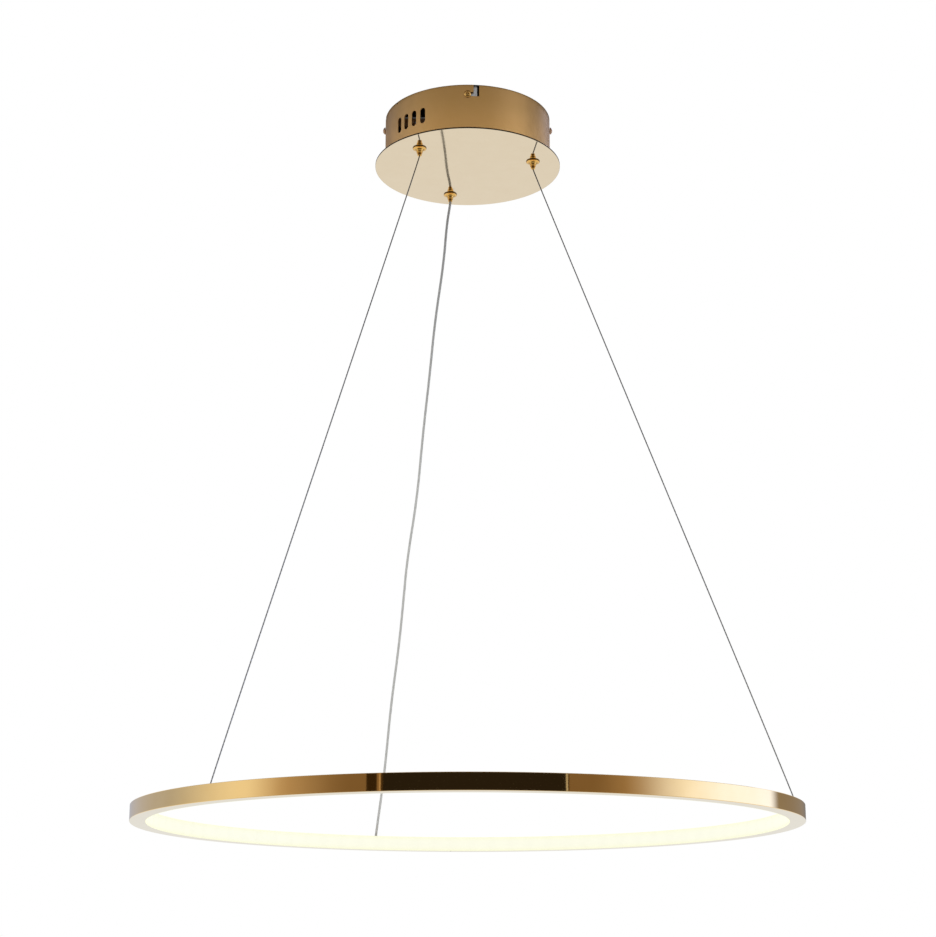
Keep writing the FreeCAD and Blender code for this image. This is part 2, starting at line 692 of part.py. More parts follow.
def build_lines():
    """The two cables and the power cord, from their grippers to the ring, and their inner ends."""
    for line, (azimuth, end_azimuth, radius) in LINES.items():
        size = read(radius)
        stub = FreeCAD.Vector(0, 0, read("dims.line_stub"))
        top = spot(GRIPPER_CIRCLE, azimuth, PLUNGER_TIP_Z)
        end = spot(ANCHOR_CIRCLE, end_azimuth, RING_TOP_Z)
        name = "power_cord" if line == "cord" else f"cable_{line}"
        keep(tube(f"{name}_span", [top, top - stub, end + stub, end], size), name)
        if line == "cord":
            continue
        circle = GRIPPER_CIRCLE
        high = f"({GRIPPER_TOP_Z} + dims.tail_rise)"
        points = [top, spot(circle, azimuth, high)]
        for index in range(1, 4):
            points.append(spot(circle, f"({azimuth} + {index} * dims.tail_step)",
                               f"({high} + {index % 2} * 2 * {radius})"))
        keep(tube(f"{name}_end", points, size), f"{name}_tail")
    azimuth, _, radius = LINES["cord"]
    side = read("dims.driver_width / 2")
    top = spot(GRIPPER_CIRCLE, azimuth, PLUNGER_TIP_Z)
    bend = spot(GRIPPER_CIRCLE, azimuth, f"({GRIPPER_TOP_Z} + dims.lead_rise)")
    entry_z = read(f"{GRIPPER_TOP_Z} + dims.lead_entry_rise")
    reach = bend.y - side
    route = [
        top, bend, FreeCAD.Vector(bend.x, side + 0.48 * reach, bend.z),
        FreeCAD.Vector(bend.x, side + 0.28 * reach, entry_z), FreeCAD.Vector(bend.x, side, entry_z),
    ]
    keep(tube("cord_inside", route, read(radius)), "cord_lead")


def build_driver():
    """The LED driver: case with ears and posts, lid, board and what stands on it."""
    inner_length = "(dims.driver_length - 2 * dims.driver_wall)"
    inner_width = "(dims.driver_width - 2 * dims.driver_wall)"
    case_height = "(dims.driver_height - dims.driver_wall)"
    floor = f"({PLATE_TOP_Z} + dims.driver_wall)"
    shell = block("case_block", "dims.driver_length", "dims.driver_width", case_height, z=PLATE_TOP_Z)
    hollow = block("case_hollow", inner_length, inner_width, case_height, z=floor)
    solids = [cut("case_shell", shell, [hollow])]
    holes = []
    for side, sign in (("right", ""), ("left", "-")):
        middle = f"{sign}{EAR_HOLE_X}"
        solids.append(block(f"ear_{side}", "dims.driver_ear_length", "dims.driver_ear_width",
                            "dims.driver_ear_thickness", middle, "0", PLATE_TOP_Z))
        holes.append(cylinder(f"ear_hole_{side}", "dims.stud_radius + dims.line_clearance",
                              "dims.driver_ear_thickness", middle, "0", PLATE_TOP_Z))
        for row, lean in (("front", "-"), ("back", "")):
            solids.append(cylinder(
                f"post_{side}_{row}", "dims.post_radius", "dims.board_lift",
                f"{sign}({inner_length} / 2 - 2 * dims.post_radius)",
                f"{lean}({inner_width} / 2 - 2 * dims.post_radius)", floor))
    keep(cut("case", fuse("case_solid", solids), holes), "driver_case")
    keep(block("lid", "dims.driver_length", "dims.driver_width", "dims.driver_wall",
               z=f"{PLATE_TOP_Z} + {case_height}"), "driver_lid")
    board = f"({floor} + dims.board_lift)"
    keep(block("board", f"({inner_length} - 2 * dims.board_margin)",
               f"({inner_width} - 2 * dims.board_margin)", "dims.board_thickness", z=board),
         "driver_board")
    top = f"({board} + dims.board_thickness)"
    keep(block("transformer", "dims.transformer_size", "dims.transformer_size",
               "dims.transformer_height", z=top), "driver_transformer")
    cans = []
    for side, sign in (("right", ""), ("left", "-")):
        place = f"{sign}(dims.transformer_size / 2 + 2 * dims.capacitor_radius)"
        cans.append(cylinder(f"can_{side}", "dims.capacitor_radius", "dims.capacitor_height",
                             place, "0", top))
    keep(group("cans", cans), "driver_capacitors")


def build_terminal():
    """The terminal block with its lug, screws and leads, and the plate's studs and nuts."""
    body = block("terminal_body", "dims.terminal_length", "dims.terminal_depth", "dims.terminal_height",
                 "0", TERMINAL_Y, PLATE_TOP_Z)
    lug_x = "(-dims.terminal_length / 2 - dims.terminal_lug_length / 2)"
    lug = block("terminal_lug", "dims.terminal_lug_length", "dims.terminal_lug_length",
                "dims.driver_ear_thickness", lug_x, TERMINAL_Y, PLATE_TOP_Z)
    holes = [cylinder("lug_hole", "dims.stud_radius + dims.line_clearance", "dims.driver_ear_thickness",
                      lug_x, TERMINAL_Y, PLATE_TOP_Z)]
    screws = []
    leads = []
    seat = f"({PLATE_TOP_Z} + dims.terminal_height - dims.terminal_screw_depth)"
    for pole in (-1, 0, 1):
        x = f"{pole} * dims.terminal_pitch"
        for row, sign in (("front", "-"), ("back", "+")):
            y = f"{TERMINAL_Y} {sign} dims.terminal_depth / 4"
            for kind, found in (("hole", holes), ("screw", screws)):
                found.append(cylinder(f"terminal_{kind}_{pole + 1}_{row}", "dims.terminal_screw_radius",
                                      "dims.terminal_screw_depth", x, y, seat))
        lead = bind(document.addObject("Part::Cylinder", f"lead_{pole + 1}"),
                    Radius="dims.lead_radius", Height="dims.terminal_gap",
                    Placement__Base__x=x, Placement__Base__y="-dims.driver_width / 2",
                    Placement__Base__z=LEAD_Z)
        lead.Placement.Rotation = FreeCAD.Rotation(FreeCAD.Vector(1, 0, 0), 90)
        leads.append(lead)
    keep(cut("terminal", fuse("terminal_solid", [body, lug]), holes), "terminal_block")
    keep(group("screws", screws), "terminal_screws")
    keep(group("leads", leads), "mains_leads")
    studs = []
    nuts = []
    for name, x, y in (("right", EAR_HOLE_X, "0"), ("left", f"-{EAR_HOLE_X}", "0"),
                       ("front", lug_x, TERMINAL_Y)):
        studs.append(cylinder(f"stud_{name}", "dims.stud_radius", "dims.stud_height", x, y, PLATE_TOP_Z))
        low = f"({PLATE_TOP_Z} + dims.driver_ear_thickness)"
        nut = hexagon(f"stud_nut_{name}", "dims.stud_nut_width", "dims.stud_nut_thickness", x, y, low)
        thread = cylinder(f"stud_thread_{name}", "dims.stud_radius", "dims.stud_nut_thickness", x, y, low)
        nuts.append(cut(f"stud_nut_cut_{name}", nut, [thread]))
    keep(group("studs", studs), "canopy_studs")
    keep(group("stud_nut_set", nuts), "stud_nuts")


def face_outward(thing, side, distance, z):
    """Turn an object's own Z outward on one of the four sides and bind its place there."""
    azimuth = SIDES[side]
    outward = FreeCAD.Vector(math.sin(math.radians(azimuth)), -math.cos(math.radians(azimuth)), 0)
    thing.setExpression("Placement.Rotation.Angle", None)
    thing.Placement.Rotation = FreeCAD.Rotation(FreeCAD.Vector(0, 0, 1), outward)
    x, y = polar(distance, str(azimuth))
    return bind(thing, Placement__Base__x=x, Placement__Base__y=y, Placement__Base__z=z)


def build_bracket():
    """The cross-shaped bracket with its four tapped tabs, nuts, cable bush and earth screw."""
    sheet_metal = "dims.bracket_thickness"
    wide = "dims.bracket_arm_width"
    span = f"(2 * {TAB_FACE})"
    solids = [
        block("arm_x", span, wide, sheet_metal, z=f"-{sheet_metal}"),
        block("arm_y", wide, span, sheet_metal, z=f"-{sheet_metal}"),
        cylinder("hub", "dims.hub_radius", sheet_metal, z=f"-{sheet_metal}"),
    ]
    holes = [cylinder("entry_hole", "dims.entry_hole_radius", sheet_metal, z=f"-{sheet_metal}")]
    nuts = []
    for side, azimuth in SIDES.items():
        x, y = polar(f"({TAB_FACE} - {sheet_metal} / 2)", str(azimuth))
        sizes = (sheet_metal, wide) if azimuth % 180 else (wide, sheet_metal)
        solids.append(block(f"tab_{side}", *sizes, "dims.tab_length", x, y, "-dims.tab_length"))
        tap = cylinder(f"tap_{side}", "dims.side_screw_radius + dims.thread_clearance",
                       f"2 * {sheet_metal}")
        holes.append(face_outward(tap, side, f"({TAB_FACE} - 1.5 * {sheet_metal})", SIDE_SCREW_Z))
        square = block(f"nut_block_{side}", "dims.bracket_nut_width", "dims.bracket_nut_width",
                       "dims.bracket_nut_thickness")
        thread = cylinder(f"nut_tap_{side}", "dims.side_screw_radius + dims.thread_clearance",
                          "dims.bracket_nut_thickness")
        nut = cut(f"nut_{side}", square, [thread])
        back = f"({TAB_FACE} - {sheet_metal} - dims.bracket_nut_thickness)"
        nuts.append(face_outward(nut, side, back, SIDE_SCREW_Z))
    for name, sign in (("right", ""), ("left", "-")):
        holes.append(cylinder(f"fixing_{name}", "dims.fixing_hole_radius", sheet_metal,
                              f"{sign}dims.fixing_spacing / 2", "0", f"-{sheet_metal}"))
    holes.append(cylinder("earth_hole", "dims.earth_screw_radius", sheet_metal,
                          "dims.earth_screw_offset", "0", f"-{sheet_metal}"))
    blank = fuse("bracket_blank", solids)
    blank.Refine = True
    reach = read(TAB_FACE)

    def is_bend(edge):
        """Whether an edge is one of the outer corners between an arm and its tab."""
        box, middle = edge.BoundBox, edge.CenterOfMass
        at_top = abs(box.ZMin) < SAME and abs(box.ZMax) < SAME
        return at_top and abs(max(abs(middle.x), abs(middle.y)) - reach) < SAME

    bent = rounded("bracket_bent", blank, "dims.bend_radius", is_bend)
    keep(cut("bracket", bent, holes), "ceiling_bracket")
    keep(group("bracket_nut_set", nuts), "bracket_nuts")
    low = f"(-{sheet_metal} - dims.entry_bush_flange)"
    rim = "(dims.entry_hole_radius + dims.entry_bush_flange)"
    bush = turned("entry_bush", [
        ("dims.entry_bush_radius", low), (rim, low), (rim, f"-{sheet_metal}"),
        ("dims.entry_hole_radius", f"-{sheet_metal}"), ("dims.entry_hole_radius", "0"),
        ("dims.entry_bush_radius", "0"),
    ])
    keep(bush, "entry_grommet")
    shank = cylinder("earth_shank", "dims.earth_screw_radius", sheet_metal,
                     "dims.earth_screw_offset", "0", f"-{sheet_metal}")
    head = cylinder("earth_head", "dims.earth_head_radius", "dims.earth_head_height",
                    "dims.earth_screw_offset", "0", f"-{sheet_metal} - dims.earth_head_height")
    keep(fuse("earth", [shank, head]), "earth_screw")


def build_side_screw(side):
    """A dome-head screw through a J-slot into its tab, with a cross recess."""
    shank = cylinder(f"shank_{side}", "dims.side_screw_radius", "dims.side_screw_length",
                     z="-dims.side_screw_length")
    drum = cylinder(f"head_{side}", "dims.side_head_radius", "dims.side_head_height")
    crown = "(dims.side_head_height - dims.side_head_edge)"
    ball_radius = f"((dims.side_head_radius^2 + {crown}^2) / (2 * {crown}))"
    ball = bind(document.addObject("Part::Sphere", f"head_ball_{side}"), Radius=ball_radius)
    move_to(ball, z=f"dims.side_head_height - {ball_radius}")
    head = document.addObject("Part::Common", f"dome_{side}")
    head.Base = drum
    head.Tool = ball
    body = fuse(f"screw_{side}", [shank, head])
    low = "(dims.side_head_height - dims.side_recess_depth)"
    long = "(2 * dims.side_recess_radius)"
    narrow = "dims.side_recess_width"
    recess = [
        block(f"recess_{side}_a", long, narrow, "dims.side_recess_depth", z=low),
        block(f"recess_{side}_b", narrow, long, "dims.side_recess_depth", z=low),
    ]
    screw = cut(f"screw_{side}_cut", body, recess)
    face_outward(screw, side, f"({DRUM_RADIUS} + dims.side_head_gap)", SIDE_SCREW_Z)
    keep(screw, f"side_screw_{side}")


def check():
    """Stop if any object failed or any sub-part is empty or invalid."""
    for thing in document.Objects:
        if "Invalid" in thing.State or "Error" in thing.State:
            raise ValueError(f"{thing.Label} failed: {thing.State}")
    for node, thing in parts.items():
        if thing.Shape.isNull() or not thing.Shape.isValid():
            raise ValueError(f"{node} has no valid shape")


def write():
    """Write each sub-part to its own STEP file."""
    os.makedirs("parts", exist_ok=True)
    for node, thing in parts.items():
        thing.Shape.exportStep(f"parts/{node}.step")
    print(f"{len(parts)} sub-parts written")


fill_sheet()
build_bracket()
for screw_side in SIDES:
    build_side_screw(screw_side)
build_drum()
build_plate()
for line_name in LINES:
    build_gripper(line_name)
build_gripper_fixings()
build_driver()
build_terminal()
build_ring_profile()
build_ring_light()
build_ring_joint()
for line_name in ("left", "right"):
    build_anchor(line_name)
build_cord_entry()
build_lines()
document.recompute()
check()
write()
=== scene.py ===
"""Studio scene of a ring pendant light: a lit gold ring on two wire ropes and a clear power cord.

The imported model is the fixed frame. Every new piece is worked out in metres in that frame, rides on
one of its bodies, and replaces the CAD node that it dresses. An azimuth is an angle about Z from the
front (-Y) towards +X.
"""

import logging
import math
from dataclasses import dataclass, field
from enum import Enum
from typing import Any, Callable, Mapping, Optional, Sequence, Union

import bpy
import numpy as np
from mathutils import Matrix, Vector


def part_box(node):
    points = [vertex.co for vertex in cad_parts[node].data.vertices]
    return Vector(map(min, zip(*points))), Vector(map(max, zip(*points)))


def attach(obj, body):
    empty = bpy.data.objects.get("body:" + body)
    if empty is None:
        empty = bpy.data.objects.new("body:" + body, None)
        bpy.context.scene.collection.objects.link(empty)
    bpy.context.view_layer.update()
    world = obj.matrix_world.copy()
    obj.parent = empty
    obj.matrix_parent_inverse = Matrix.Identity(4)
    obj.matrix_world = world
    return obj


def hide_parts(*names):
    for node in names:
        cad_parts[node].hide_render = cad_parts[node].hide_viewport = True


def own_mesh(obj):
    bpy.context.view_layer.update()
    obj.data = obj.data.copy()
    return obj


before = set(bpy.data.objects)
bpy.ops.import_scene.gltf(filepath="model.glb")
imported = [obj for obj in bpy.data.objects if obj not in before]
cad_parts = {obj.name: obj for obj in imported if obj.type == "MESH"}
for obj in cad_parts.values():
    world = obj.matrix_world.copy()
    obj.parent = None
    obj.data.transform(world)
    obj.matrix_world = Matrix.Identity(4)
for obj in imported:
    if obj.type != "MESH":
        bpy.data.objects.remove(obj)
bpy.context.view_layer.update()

LOG = logging.getLogger("pendant")
MM = 0.001
RIM_Z = -1.0 * MM
PLATE_TOP_Z = -49.5 * MM
PLATE_BOTTOM_Z = -51.0 * MM
RING_TOP_Z = -678.0 * MM
RING_BOTTOM_Z = -692.0 * MM
PLUNGER_TIP_Z = -59.0 * MM
GRIPPER_CIRCLE = 66.0 * MM
ANCHOR_CIRCLE = 292.5 * MM
LINE_AZIMUTH = {"left": -44.5, "right": 75.5, "cord": -164.5}
CORD_ENTRY_AZIMUTH = -161.0
SIDE_AZIMUTH = {"front": 0.0, "right": 90.0, "back": 180.0, "left": -90.0}

Triple = tuple[float, float, float]


def spot(radius: float, azimuth: float, height: float) -> Triple:
    """The point on a circle about Z at an azimuth in degrees."""
    turn = math.radians(azimuth)
    return (radius * math.sin(turn), -radius * math.cos(turn), height)


# ---------------------------------------------------------------------------- shader expressions


def _operator(operation: str, reflected: bool = False) -> Callable[["Signal", Any], "Signal"]:
    """An operator that adds a Math node; the reflected form puts the other value first."""

    def combine(self: "Signal", other: Any) -> "Signal":
        """The Math node's result."""
        return self.calculate(operation, *((other, self) if reflected else (self, other)))

    return combine


class Signal:
    """A socket of a shader tree that takes part in Python expressions."""

    def __init__(self, bench: "Bench", socket: Optional[bpy.types.NodeSocket]) -> None:
        """Keep the bench that adds nodes and the socket that carries the value."""
        self.bench = bench
        self.socket = socket

    def calculate(self, operation: str, *values: Any) -> "Signal":
        """Add one Math node and return its result."""
        return self.bench.node("ShaderNodeMath", {"operation": operation}, dict(enumerate(values)))

    __add__ = __radd__ = _operator("ADD")
    __sub__, __rsub__ = _operator("SUBTRACT"), _operator("SUBTRACT", reflected=True)
    __mul__ = __rmul__ = _operator("MULTIPLY")
    __truediv__, __pow__ = _operator("DIVIDE"), _operator("POWER")

    def sin(self) -> "Signal":
        """Sine of the value in radians."""
        return self.calculate("SINE", self)

    def abs(self) -> "Signal":
        """Absolute value."""
        return self.calculate("ABSOLUTE", self)

    def largest(self, other: "Signal") -> "Signal":
        """The larger of two values."""
        return self.calculate("MAXIMUM", self, other)

    def azimuth_of(self, forward: "Signal") -> "Signal":
        """Angle in radians whose sine follows this value and whose cosine follows forward."""
        return self.calculate("ARCTAN2", self, forward)

    def step(self, low: float, high: float) -> "Signal":
        """0 below low, 1 above high and a smooth rise between; falls where low is above high."""
        return self.bench.node(
            "ShaderNodeMapRange", {"interpolation_type": "SMOOTHSTEP"},
            {"Value": self, "From Min": low, "From Max": high, "To Min": 0.0, "To Max": 1.0})


class Bench:
    """The node tree of one material or world, with short ways to add nodes to it."""

    def __init__(self, tree: bpy.types.NodeTree) -> None:
        """Empty the tree."""
        self.tree = tree
        tree.nodes.clear()

    def node(self, kind: str, settings: Mapping[str, Any], values: Mapping[Any, Any],
             output: Union[int, str] = 0) -> Signal:
        """Add a node.

        Args:
            kind: The node's type name.
            settings: Properties of the node, such as a Math node's operation.
            values: Number, colour, vector or Signal of each input socket, by name or number.
            output: The output socket to return.

        Returns:
            The chosen output as a Signal.
        """
        made = self.tree.nodes.new(kind)
        for key, value in settings.items():
            setattr(made, key, value)
        for key, value in values.items():
            socket = made.inputs[key]
            if isinstance(value, Signal):
                self.tree.links.new(value.socket, socket)
            elif isinstance(value, (tuple, list)) and socket.type == "RGBA":
                socket.default_value = (*value[:3], 1.0)
            else:
                socket.default_value = value
        return Signal(self, made.outputs[output] if len(made.outputs) else None)

    def place(self, centre: Sequence[float] = (0.0, 0.0, 0.0)) -> tuple[Signal, ...]:
        """Object coordinates from a centre in metres: x, y, z and all three as one vector."""
        here = self.node("ShaderNodeTexCoord", {}, {}, "Object")
        moved = self.node("ShaderNodeMapping", {}, {0: here, 1: tuple(-c for c in centre)})
        split = self.node("ShaderNodeSeparateXYZ", {}, {0: moved})
        outputs = split.socket.node.outputs
        return split, Signal(self, outputs[1]), Signal(self, outputs[2]), moved

    def join(self, x: Any, y: Any, z: Any) -> Signal:
        """Three values as one vector."""
        return self.node("ShaderNodeCombineXYZ", {}, {0: x, 1: y, 2: z})

    def noise(self, vector: Signal, scale: float, detail: float = 3.0) -> Signal:
        """Smooth noise from 0 to 1 at a scale in repeats per unit of the vector."""
        return self.node("ShaderNodeTexNoise", {},
                         {"Vector": vector, "Scale": scale, "Detail": detail, "Roughness": 0.55})

    def blend(self, share: Any, first: Any, second: Any) -> Signal:
        """Two colours mixed by a share."""
        return self.node("ShaderNodeMix", {"data_type": "RGBA", "blend_type": "MIX"},
                         {0: share, 6: first, 7: second}, 2)

    def attribute(self, name: str) -> Signal:
        """A number that the piece's mesh carries at its points."""
        return self.node("ShaderNodeAttribute", {"attribute_name": name}, {}, "Fac")

    def bump(self, height: Signal, depth: float, normal: Optional[Signal] = None) -> Signal:
        """A Normal from a height of 0 to 1 that stands for a depth in metres."""
        values: dict[Any, Any] = {"Height": height, "Distance": depth, "Strength": 1.0}
        if normal is not None:
            values["Normal"] = normal
        return self.node("ShaderNodeBump", {}, values)

    def rays(self, *kinds: str) -> Signal:
        """1 for rays of any of the kinds that a Light Path node names, else 0."""
        path = self.node("ShaderNodeLightPath", {}, {}, f"Is {kinds[0]} Ray")
        outputs = path.socket.node.outputs
        for kind in kinds[1:]:
            path = path.largest(Signal(self, outputs[f"Is {kind} Ray"]))
        return path

    def surface(self, **values: Any) -> None:
        """End the tree in a Principled surface; an underscore in a name stands for a space."""
        shader = self.node("ShaderNodeBsdfPrincipled", {},
                           {key.replace("_", " "): value for key, value in values.items()})
        self.node("ShaderNodeOutputMaterial", {}, {"Surface": shader})


def blank(name: str) -> tuple[bpy.types.Material, Bench]:
    """A new material and the bench of its emptied tree."""
    made = bpy.data.materials.new(name)
    made.use_nodes = True
    return made, Bench(made.node_tree)


class Lay(Enum):
    """The way that fine polishing lines run on a piece."""

    ROUND = "round its own axis"
    FLAT = "in circles on a flat face"
    ACROSS = "straight along X"
    CLOUD = "without direction"


@dataclass(frozen=True)
class Finish:
    """What every finish has: a name and a way to paint a new material."""

    name: str

    def material(self) -> bpy.types.Material:
        """Make the material, or find it if it is there already; the CAD's own names stay apart."""
        name = f"look_{self.name}"
        made = bpy.data.materials.get(name)
        if made is None:
            made, bench = blank(name)
            self.paint(bench)
        return made

    def paint(self, bench: Bench) -> None:
        """Add the material's nodes."""
        raise NotImplementedError


@dataclass(frozen=True)
class Metal(Finish):
    """Bare or plated metal with polishing lines, handling smudges and small dents of tone; it can carry
    painted shade towards its top and a painted dark rim.
    """

    colour: Triple
    deep: Triple
    roughness: float = 0.12
    smudge: float = 0.06
    lay: Lay = Lay.CLOUD
    centre: Triple = (0.0, 0.0, 0.0)
    line_pitch: float = 0.25 * MM
    line_depth: float = 0.002 * MM
    wave_size: float = 40.0 * MM
    wave_depth: float = 0.004 * MM
    specks: float = 0.03
    seam_azimuth: Optional[float] = None
    painted_top_shade: Optional[Triple] = None
    shaded_rim_radius: Optional[float] = None

    def paint(self, bench: Bench) -> None:
        """Lines and slow waves in the surface, smudges in the gloss, a slight drift of tone, and the
        painted shade that is asked for.
        """
        x, y, z, here = bench.place(self.centre)
        radius = (x * x + y * y) ** 0.5
        turn = x.azimuth_of(0.0 - y)
        track = {
            Lay.ROUND: lambda: bench.join(turn * 0.0008, 0.0, z),
            Lay.FLAT: lambda: bench.join(radius, turn * 0.004, z),
            Lay.ACROSS: lambda: bench.join(x * 0.02, y, z),
            Lay.CLOUD: lambda: here,
        }[self.lay]()
        lines = bench.noise(track, 1.0 / self.line_pitch, 4.0)
        waves = bench.noise(here, 1.0 / self.wave_size, 2.0)
        smudges = bench.noise(here, 1.0 / (0.35 * self.wave_size), 5.0)
        spots = bench.noise(here, 1.0 / (1.1 * MM), 2.0).step(0.68, 0.8)
        tone = bench.blend((smudges * 0.6 + lines * 0.4).step(0.25, 0.75), self.deep, self.colour)
        # Painted shade: the tone turns darker towards the top, between two heights.
        if self.painted_top_shade is not None:
            low, high, amount = self.painted_top_shade
            tone = bench.blend(z.step(low, high) * amount, tone, (0.0, 0.0, 0.0))
        # Painted shade: beyond this radius the tone turns dark, a painted dark rim.
        if self.shaded_rim_radius is not None:
            rim = radius.step(self.shaded_rim_radius - 0.15 * MM, self.shaded_rim_radius)
            tone = bench.blend(rim, tone, tuple(0.25 * c for c in self.deep))
        gloss = (smudges.step(0.35, 0.8) * self.smudge + lines * (0.5 * self.smudge)
                 + spots * self.specks + (self.roughness - 0.35 * self.smudge))
        normal = bench.bump(lines, self.line_depth, bench.bump(waves, self.wave_depth))
        if self.seam_azimuth is not None:
            seam_turn = math.radians(self.seam_azimuth)
            along = x * math.cos(seam_turn) + y * math.sin(seam_turn)
            ahead = x * math.sin(seam_turn) - y * math.cos(seam_turn)
            behind = ahead.step(0.0, 0.01)
            gap = along.abs().step(0.12 * MM, 0.05 * MM) * behind
            tone = bench.blend(gap, tone, tuple(0.08 * c for c in self.colour))
            normal = bench.bump(1.0 - gap, 0.15 * MM, normal)
        bench.surface(Base_Color=tone, Metallic=1.0, Roughness=gloss, Normal=normal)


@dataclass(frozen=True)
class Plastic(Finish):
    """Moulded plastic or rubber with a fine spark-eroded grain and a little colour drift."""

    colour: Triple
    deep: Triple
    roughness: float = 0.5
    grain: float = 0.35 * MM
    grain_depth: float = 0.012 * MM
    coat: float = 0.0

    def paint(self, bench: Bench) -> None:
        """Grain in the surface and in the gloss, and dust-like drift of tone."""
        *_, here = bench.place()
        grain = bench.noise(here, 1.0 / self.grain, 3.0)
        cloud = bench.noise(here, 1.0 / (9.0 * MM), 4.0)
        tone = bench.blend(cloud.step(0.3, 0.75), self.colour, self.deep)
        gloss = cloud * 0.12 + grain * 0.08 + (self.roughness - 0.1)
        bench.surface(Base_Color=tone, Roughness=gloss, Coat_Weight=self.coat,
                      Normal=bench.bump(grain, self.grain_depth))


@dataclass(frozen=True)
class Opal(Finish):
    """Opal diffuser lit from behind: brightest along its middle, with faint light from each chip."""

    colour: Triple = (0.36, 0.355, 0.32)
    glow: Triple = (1.0, 1.0, 0.80)
    rim_glow: Triple = (0.99, 0.995, 0.62)
    strength: float = 0.663
    middle: float = -685.0 * MM
    half: float = 7.0 * MM
    chips: int = 90

    def paint(self, bench: Bench) -> None:
        """The glow turns warmer to the edges and ripples with the chips behind."""
        x, y, z, here = bench.place()
        edge = ((z - self.middle) / self.half).abs() ** 3.0
        chip = (x.azimuth_of(0.0 - y) * float(self.chips)).sin() * 0.5 + 0.5
        frost = bench.noise(here, 1.0 / (0.25 * MM), 2.0)
        glow = bench.blend(edge, self.glow, self.rim_glow)
        glow = bench.blend(chip * 0.02 + 0.98, (0.0, 0.0, 0.0), glow)
        tone = bench.blend(frost, self.colour, tuple(0.96 * c for c in self.colour))
        bench.surface(Base_Color=tone, Roughness=frost * 0.1 + 0.42, Emission_Color=glow,
                      Emission_Strength=self.strength, Normal=bench.bump(frost, 0.004 * MM))


@dataclass(frozen=True)
class Rope(Finish):
    """Bright steel wire rope; the mesh says where its strands stand proud."""

    crown: Triple = (0.50, 0.50, 0.495)
    shaded_valley: Triple = (0.17, 0.17, 0.17)
    painted_shade: float = 0.5

    def paint(self, bench: Bench) -> None:
        """Painted shade between the strands, bright on them, with single wires as fine lines of painted
        shade, and painted shade towards the top.
        """
        proud = bench.attribute("proud")
        wires = (bench.attribute("wire") * (2.0 * math.pi)).sin() * 0.5 + 0.5
        _, _, z, here = bench.place()
        wear = bench.noise(here, 1.0 / (14.0 * MM), 4.0)
        # Painted shade: the hollows between strands and the lines between wires are darker.
        tone = bench.blend(proud.step(0.0, 0.7), self.shaded_valley, self.crown)
        tone = bench.blend(wires * 0.35, tone, tuple(0.4 * c for c in self.crown))
        tone = bench.blend(wear.step(0.45, 0.8) * 0.35, tone, (0.34, 0.33, 0.32))
        # Painted shade: the rope turns darker towards the canopy.
        tone = bench.blend(z.step(RING_TOP_Z, PLUNGER_TIP_Z) * self.painted_shade, tone, (0.05, 0.05, 0.05))
        bench.surface(Base_Color=tone, Metallic=1.0, Roughness=wear * 0.16 + 0.26,
                      Normal=bench.bump(1.0 - wires, 0.012 * MM))


@dataclass(frozen=True)
class ClearJacket(Finish):
    """Clear flexible cord jacket over its cores, slightly hazy."""

    tint: Triple = (0.72, 0.72, 0.70)
    # deep is the colour of the painted shade towards the canopy.
    deep: Triple = (0.36, 0.36, 0.355)
    painted_shade_from: float = -380.0 * MM
    painted_shade_full: float = -100.0 * MM

    def paint(self, bench: Bench) -> None:
        """Random haze, painted shade that darkens the cord towards the canopy, and fine extrusion ripples
        along the cord.
        """
        _, _, z, here = bench.place()
        haze = bench.noise(here, 1.0 / (6.0 * MM), 3.0)
        ripple = bench.noise(here, 1.0 / (0.8 * MM), 2.0)
        tone = bench.blend(haze.step(0.3, 0.8), self.tint, tuple(0.95 * c for c in self.tint))
        # Painted shade: the jacket turns towards deep near the canopy.
        tone = bench.blend(z.step(self.painted_shade_from, self.painted_shade_full) * 0.8, tone, self.deep)
        bench.surface(Base_Color=tone, Roughness=haze * 0.12 + 0.16, IOR=1.42,
                      Transmission_Weight=0.35, Normal=bench.bump(ripple, 0.006 * MM))


@dataclass(frozen=True)
class Board(Finish):
    """Circuit board with solder resist, copper tracks under it and bright pads."""

    colour: Triple = (0.80, 0.81, 0.77)
    track: Triple = (0.70, 0.68, 0.58)

    def paint(self, bench: Bench) -> None:
        """Rows of tracks show through the resist as faint raised bands."""
        x, y, z, here = bench.place()
        rows = bench.noise(bench.join(x * 0.15, y, z), 1.0 / (3.0 * MM), 1.0).step(0.48, 0.52)
        cloud = bench.noise(here, 1.0 / (6.0 * MM), 3.0)
        tone = bench.blend(rows * 0.7, self.colour, self.track)
        bench.surface(Base_Color=tone, Roughness=cloud * 0.2 + 0.25,
                      Normal=bench.bump(rows, 0.03 * MM))


@dataclass(frozen=True)
class Cores(Finish):
    """The insulated supply cores side by side, each in its own wiring colour."""

    def paint(self, bench: Bench) -> None:
        """Brown, green with a yellow stripe, and blue, chosen by the place along X."""
        x, _, z, here = bench.place()
        cloud = bench.noise(here, 1.0 / (2.0 * MM), 3.0)
        stripe = (z + 44.5 * MM).step(0.1 * MM, 0.25 * MM)
        earth = bench.blend(stripe, (0.05, 0.32, 0.07), (0.80, 0.68, 0.05))
        left = x.step(-4.2 * MM, -3.8 * MM)
        right = x.step(3.8 * MM, 4.2 * MM)
        tone = bench.blend(right, bench.blend(left, (0.18, 0.07, 0.03), earth), (0.03, 0.10, 0.42))
        bench.surface(Base_Color=tone, Roughness=cloud * 0.2 + 0.3,
                      Normal=bench.bump(cloud, 0.01 * MM))


